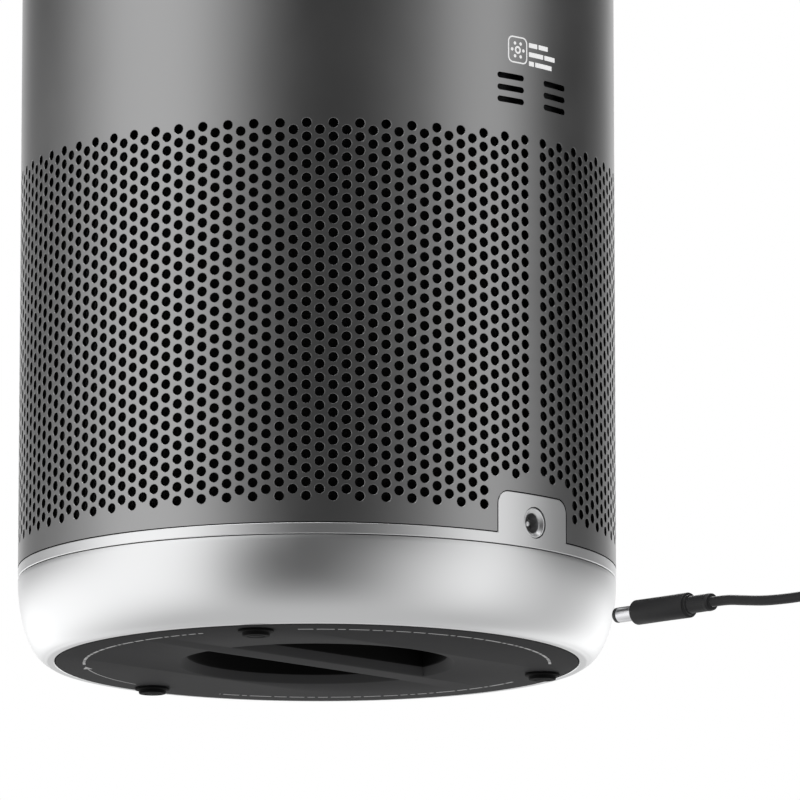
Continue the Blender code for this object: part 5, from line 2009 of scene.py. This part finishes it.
@dataclass
class Top:
    """The top ring, the swept outlet grille, the touch panel and the round screen."""

    fins: int = 72
    fin_width: float = 1.5 * MM
    rim: float = 3 * MM
    sweep: float = math.radians(16)
    hoops: tuple[float, ...] = (61 * MM, 79 * MM)

    def build(self) -> None:
        """Build the pieces from the rim inward."""
        self.ring()
        self.grille()
        self.panel()
        self.screen()

    def ring(self) -> None:
        """Turn the rounded top ring with a fine break at its seam."""
        low, high = span("top_ring")
        radius, wall = high.x, 2.4 * MM
        wide, tall, mouth = 7 * MM, 9 * MM, 100.6 * MM
        turns = [math.pi / 2 * step / 16 for step in range(17)]
        outer = [
            (radius - wide + wide * math.cos(turn), high.z - tall + tall * math.sin(turn), 0)
            for turn in turns
        ]
        inner = [
            (radius - wide + (wide - wall) * math.cos(turn), high.z - tall + (tall - wall) * math.sin(turn), 0)
            for turn in reversed(turns)
        ]
        outline = [
            (radius, low.z, 0.3 * MM), *outer, (mouth, high.z, 0.5 * MM),
            (mouth, high.z - wall, 0.2 * MM), *inner
        ]
        outline += [(radius - wall, low.z, 0.2 * MM)]
        draft = Draft()
        draft.turn(list(reversed(fillet(outline, 4))), 288)
        piece = draft.piece("top_ring_rounded", Part.HOUSING, FINISH.silver, "silver", Edge.CRISP)
        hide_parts("top_ring")

    def grille(self) -> None:
        """Build the grille: two rims, two hoops and the swept fins between them."""
        low, high = span("outlet_grille")
        outer, inner = high.x, 44.2 * MM
        draft = Draft()
        for wide, narrow in ((outer, outer - self.rim), (inner + self.rim, inner)):
            band = [
                (wide, low.z, 0.4 * MM), (wide, high.z, 0.6 * MM), (narrow, high.z, 0.6 * MM),
                (narrow, low.z, 0.4 * MM)
            ]
            draft.turn(list(reversed(fillet(band, 4))), 216)
        for middle in self.hoops:
            half = self.fin_width * 0.6
            band = [(middle + half, low.z + 0.4 * MM, 0.3 * MM), (middle + half, high.z - 0.5 * MM, 0.4 * MM),
                    (middle - half, high.z - 0.5 * MM, 0.4 * MM), (middle - half, low.z + 0.4 * MM, 0.3 * MM)]
            draft.turn(list(reversed(fillet(band, 3))), 180)
        half = self.fin_width / 2
        section = [
            (-half, low.z + 0.2 * MM), (half, low.z + 0.2 * MM), (half, high.z - 0.6 * MM),
            (half * 0.6, high.z - 0.2 * MM), (0, high.z - 0.1 * MM), (-half * 0.6, high.z - 0.2 * MM),
            (-half, high.z - 0.6 * MM),
        ]
        start, end = inner + self.rim - 0.4 * MM, outer - self.rim + 0.4 * MM
        for fin in range(self.fins):
            rows = []
            for step in range(11):
                share = step / 10
                radius = start + (end - start) * share
                turn = FULL_TURN * fin / self.fins + self.sweep * share**1.3
                lean = math.atan(radius * self.sweep * 1.3 * share**0.3 / (end - start))
                along = Vector((math.cos(turn), math.sin(turn), 0))
                across = Vector(
                    (-math.sin(turn), math.cos(turn), 0)
                ) * math.cos(lean) - along * math.sin(lean)
                rows.append([
                    tuple(along * radius + across * offset + Vector((0, 0, level))) for offset, level in section
                ])
            draft.loft(rows)
        piece = draft.piece("outlet_grille_fins", Part.HOUSING, FINISH.black, "black_plastic", Edge.CRISP)
        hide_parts("outlet_grille")

    def panel(self) -> None:
        """Turn the touch panel and print a plain symbol over each touch key."""
        turn_again("control_panel", "touch_panel", Part.HOUSING, FINISH.touch, "black_plastic", 0.8 * MM, 192)
        high = span("control_panel")[1]
        ink = Draft()
        reach = 37.2 * MM
        for key in range(8):
            turn = FULL_TURN * (key + 0.5) / 8
            middle = (reach * math.cos(turn), reach * math.sin(turn))
            self.symbol(ink, key, middle, turn, high.z)
        ink.piece("touch_symbols", Part.HOUSING, FINISH.print_touch, "silver")

    def symbol(self, ink: Draft, key: int, middle: Pair, turn: float, level: float) -> None:
        """Print one key's symbol: a ring, dots or bars.

        Args:
            ink: The draft.
            key: The key's number.
            middle: The symbol's middle.
            turn: Its bearing from the axis.
            level: Height of the panel's top.
        """
        def plate(outline: list[Pair]) -> None:
            """Print a filled outline a hair above the panel."""
            ink.loft([[(x, y, level + rise) for x, y in outline] for rise in (0.004 * MM, 0.03 * MM)])

        def hoop(wide: float, narrow: float) -> None:
            """Print a ring about the symbol's middle."""
            rows = [(wide, 0.004 * MM), (wide, 0.03 * MM), (narrow, 0.03 * MM), (narrow, 0.004 * MM)]
            ink.loft(
                [[(x, y, level + rise) for x, y in circle(radius, 40, middle)] for radius, rise in rows],
                capped=False,
            )

        along = Vector((math.cos(turn), math.sin(turn)))
        across = Vector((-along.y, along.x))
        if key % 4 == 0:
            hoop(2.0 * MM, 1.65 * MM)
            plate(circle(0.55 * MM, 20, middle))
        elif key % 4 == 1:
            for blade in range(3):
                angle = turn + blade * FULL_TURN / 3
                plate(circle(
                    0.62 * MM, 20,
                    (middle[0] + 1.25 * MM * math.cos(angle), middle[1] + 1.25 * MM * math.sin(angle)),
                ))
        elif key % 4 == 2:
            for row in (-1, 0, 1):
                centre = Vector(middle) + along * row * 1.2 * MM
                half = (1.9 - 0.35 * abs(row)) * MM
                corners = [
                    centre + across * side * half + along * rise * 0.2 * MM for side,
                    rise in ((1, -1), (1, 1), (-1, 1), (-1, -1))
                ]
                plate([(corner.x, corner.y) for corner in reversed(corners)])
        else:
            hoop(1.9 * MM, 1.6 * MM)
            hoop(1.0 * MM, 0.75 * MM)

    def screen(self) -> None:
        """Turn the screen's glass and light a ring of marks under it."""
        turn_again("display_screen", "screen_lens", Part.HOUSING, FINISH.glass, "screen_glass", 0.5 * MM, 192)
        high = span("display_screen")[1]
        light = Draft()
        marks = 40
        for mark in range(marks):
            if mark % marks in range(28, 33):
                continue
            turn = FULL_TURN * mark / marks
            near, far = 21.5 * MM, 24.5 * MM
            ray, side = (math.cos(turn), math.sin(turn)), (-math.sin(turn), math.cos(turn))
            half = 0.35 * MM
            bar = [(ray[0] * reach + side[0] * offset, ray[1] * reach + side[1] * offset)
                   for reach, offset in ((near, -half), (far, -half), (far, half), (near, half))]
            light.loft([[(x, y, high.z + rise) for x, y in bar] for rise in (0.004 * MM, 0.02 * MM)])
        for step, wide in enumerate((4, 7, 10)):
            left, base = (-7.5 + 5.5 * step) * MM, -5 * MM
            bar = [
                (left, base), (left + 3.5 * MM, base), (left + 3.5 * MM, base + wide * MM),
                (left, base + wide * MM)
            ]
            light.loft([[(x, y, high.z + rise) for x, y in bar] for rise in (0.004 * MM, 0.02 * MM)])
        light.piece("screen_marks", Part.HOUSING, FINISH.lamp, "silver")


# ---------------------------------------------------------------- fan and inner frame


@dataclass
class FanUnit:
    """The fan with its duct and motor, the sensor, the boards and the cage that carries the shell."""

    posts: int = 4

    def build(self) -> None:
        """Turn the round pieces again and dress the rest."""
        for node, name, finish, slot in (
            ("fan_duct", "duct_spun", FINISH.inner, "inner_plastic"),
            ("fan_can", "can_spun", FINISH.inner, "inner_plastic"),
            ("motor", "motor_spun", FINISH.steel, "steel"),
        ):
            turn_again(node, name, Part.HOUSING, finish, slot)
        turn_again("fan_shaft", "shaft_turned", Part.ROTOR, FINISH.steel, "steel", 0.3 * MM, 48)
        for node, finish in (
            ("fan_deck", FINISH.inner), ("stator_vanes", FINISH.inner), ("motor_mount", FINISH.inner),
            ("cage_ring", FINISH.inner), ("dust_sensor", FINISH.inner), ("wire_cover", FINISH.inner),
            ("fan_wheel", FINISH.black), ("fan_nut", FINISH.brass), ("main_board", FINISH.board),
            ("display_board", FINISH.board),
        ):
            dress_node(node, finish)
        for post in range(1, self.posts + 1):
            dress_node(f"cage_post_{post}", FINISH.inner, 0.5 * MM)
            self.screw(post)

    def screw(self, index: int) -> None:
        """Turn a pan-head screw with a round recess sunk in its head.

        Args:
            index: The screw's number.
        """
        low, high = span(f"deck_screw_{index}")
        middle = ((low.x + high.x) / 2, (low.y + high.y) / 2)
        radius, tall = (high.x - low.x) / 2, high.z - low.z
        draft = Draft()
        outline = [(0, low.z, 0), (radius, low.z, 0.1 * MM), (radius, low.z + tall * 0.45, 0.2 * MM)]
        outline += [
            (radius * 0.72, high.z, 0.7 * MM), (radius * 0.3, high.z, 0),
            (0.18 * radius, high.z - tall * 0.5, 0)
        ]
        outline += [(0, high.z - tall * 0.5, 0)]
        draft.turn(list(reversed(fillet(outline, 4))), 32, middle)
        piece = draft.piece(f"deck_screw_{index}_turned", Part.HOUSING, FINISH.steel, "steel")
        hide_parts(f"deck_screw_{index}")


# ---------------------------------------------------------------- filter


@dataclass
class FilterCartridge:
    """The round filter: pleated paper in a net sleeve, carbon core, two caps, foam seal and pull strap."""

    def build(self) -> None:
        """Build the cartridge from the outside in."""
        turn_again("filter_sleeve", "filter_net", Part.FILTER, FINISH.net, "filter_mesh", 0.15 * MM, 192)
        turn_again(
            "filter_cap_lower", "cap_lower_moulded", Part.FILTER, FINISH.cap, "filter_cap",
            0.5 * MM, 192
        )
        turn_again(
            "filter_cap_upper", "cap_upper_moulded", Part.FILTER, FINISH.cap, "filter_cap",
            0.5 * MM, 192
        )
        turn_again("filter_seal", "seal_foam", Part.FILTER, FINISH.foam, "foam", 0.8 * MM, 96)
        turn_again("filter_core", "core_carbon", Part.FILTER, FINISH.carbon, "carbon", 0.3 * MM, 128)
        dress_node("filter_pleats", FINISH.paper)
        self.strap()

    def strap(self) -> None:
        """Lay the pull strap across the lower cap, with its rolled edges."""
        low, high = span("filter_strap")
        middle, size = (low + high) / 2, high - low
        draft = Draft()
        across = [
            (-size.y / 2, 0.0), (-size.y / 2 + 0.3 * MM, -0.3), (0, -0.5), (size.y / 2 - 0.3 * MM, -0.3),
            (size.y / 2, 0.0), (size.y / 2 - 0.3 * MM, 0.3), (0, 0.5), (-size.y / 2 + 0.3 * MM, 0.3),
        ]
        rows = []
        steps = 24
        for step in range(steps + 1):
            share = step / steps
            sag = math.sin(math.pi * share) * size.z * 0.25
            rows.append([
                (low.x + size.x * share, middle.y + a, middle.z - sag + b * (size.z * 0.45)) for a, b in across
            ])
        draft.loft(rows)
        piece = draft.piece("pull_strap", Part.FILTER, FINISH.web, "strap", Edge.SOFT)
        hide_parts("filter_strap")


# ---------------------------------------------------------------- the whole appliance


def main() -> None:
    """Build the studio and every sub-assembly in order, and report each."""
    logging.basicConfig(level=logging.INFO, format="%(name)s %(message)s")
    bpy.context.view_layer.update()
    for name, maker in ASSEMBLIES:
        log.info("building the %s", name)
        maker().build()


ASSEMBLIES: tuple[tuple[str, Callable[[], object]], ...] = (
    ("studio", Studio),
    ("lead", Lead),
    ("shell", Shell),
    ("base", Base),
    ("cover", Cover),
    ("top", Top),
    ("fan unit", FanUnit),
    ("filter cartridge", FilterCartridge),
)


if __name__ == "__main__":
    main()
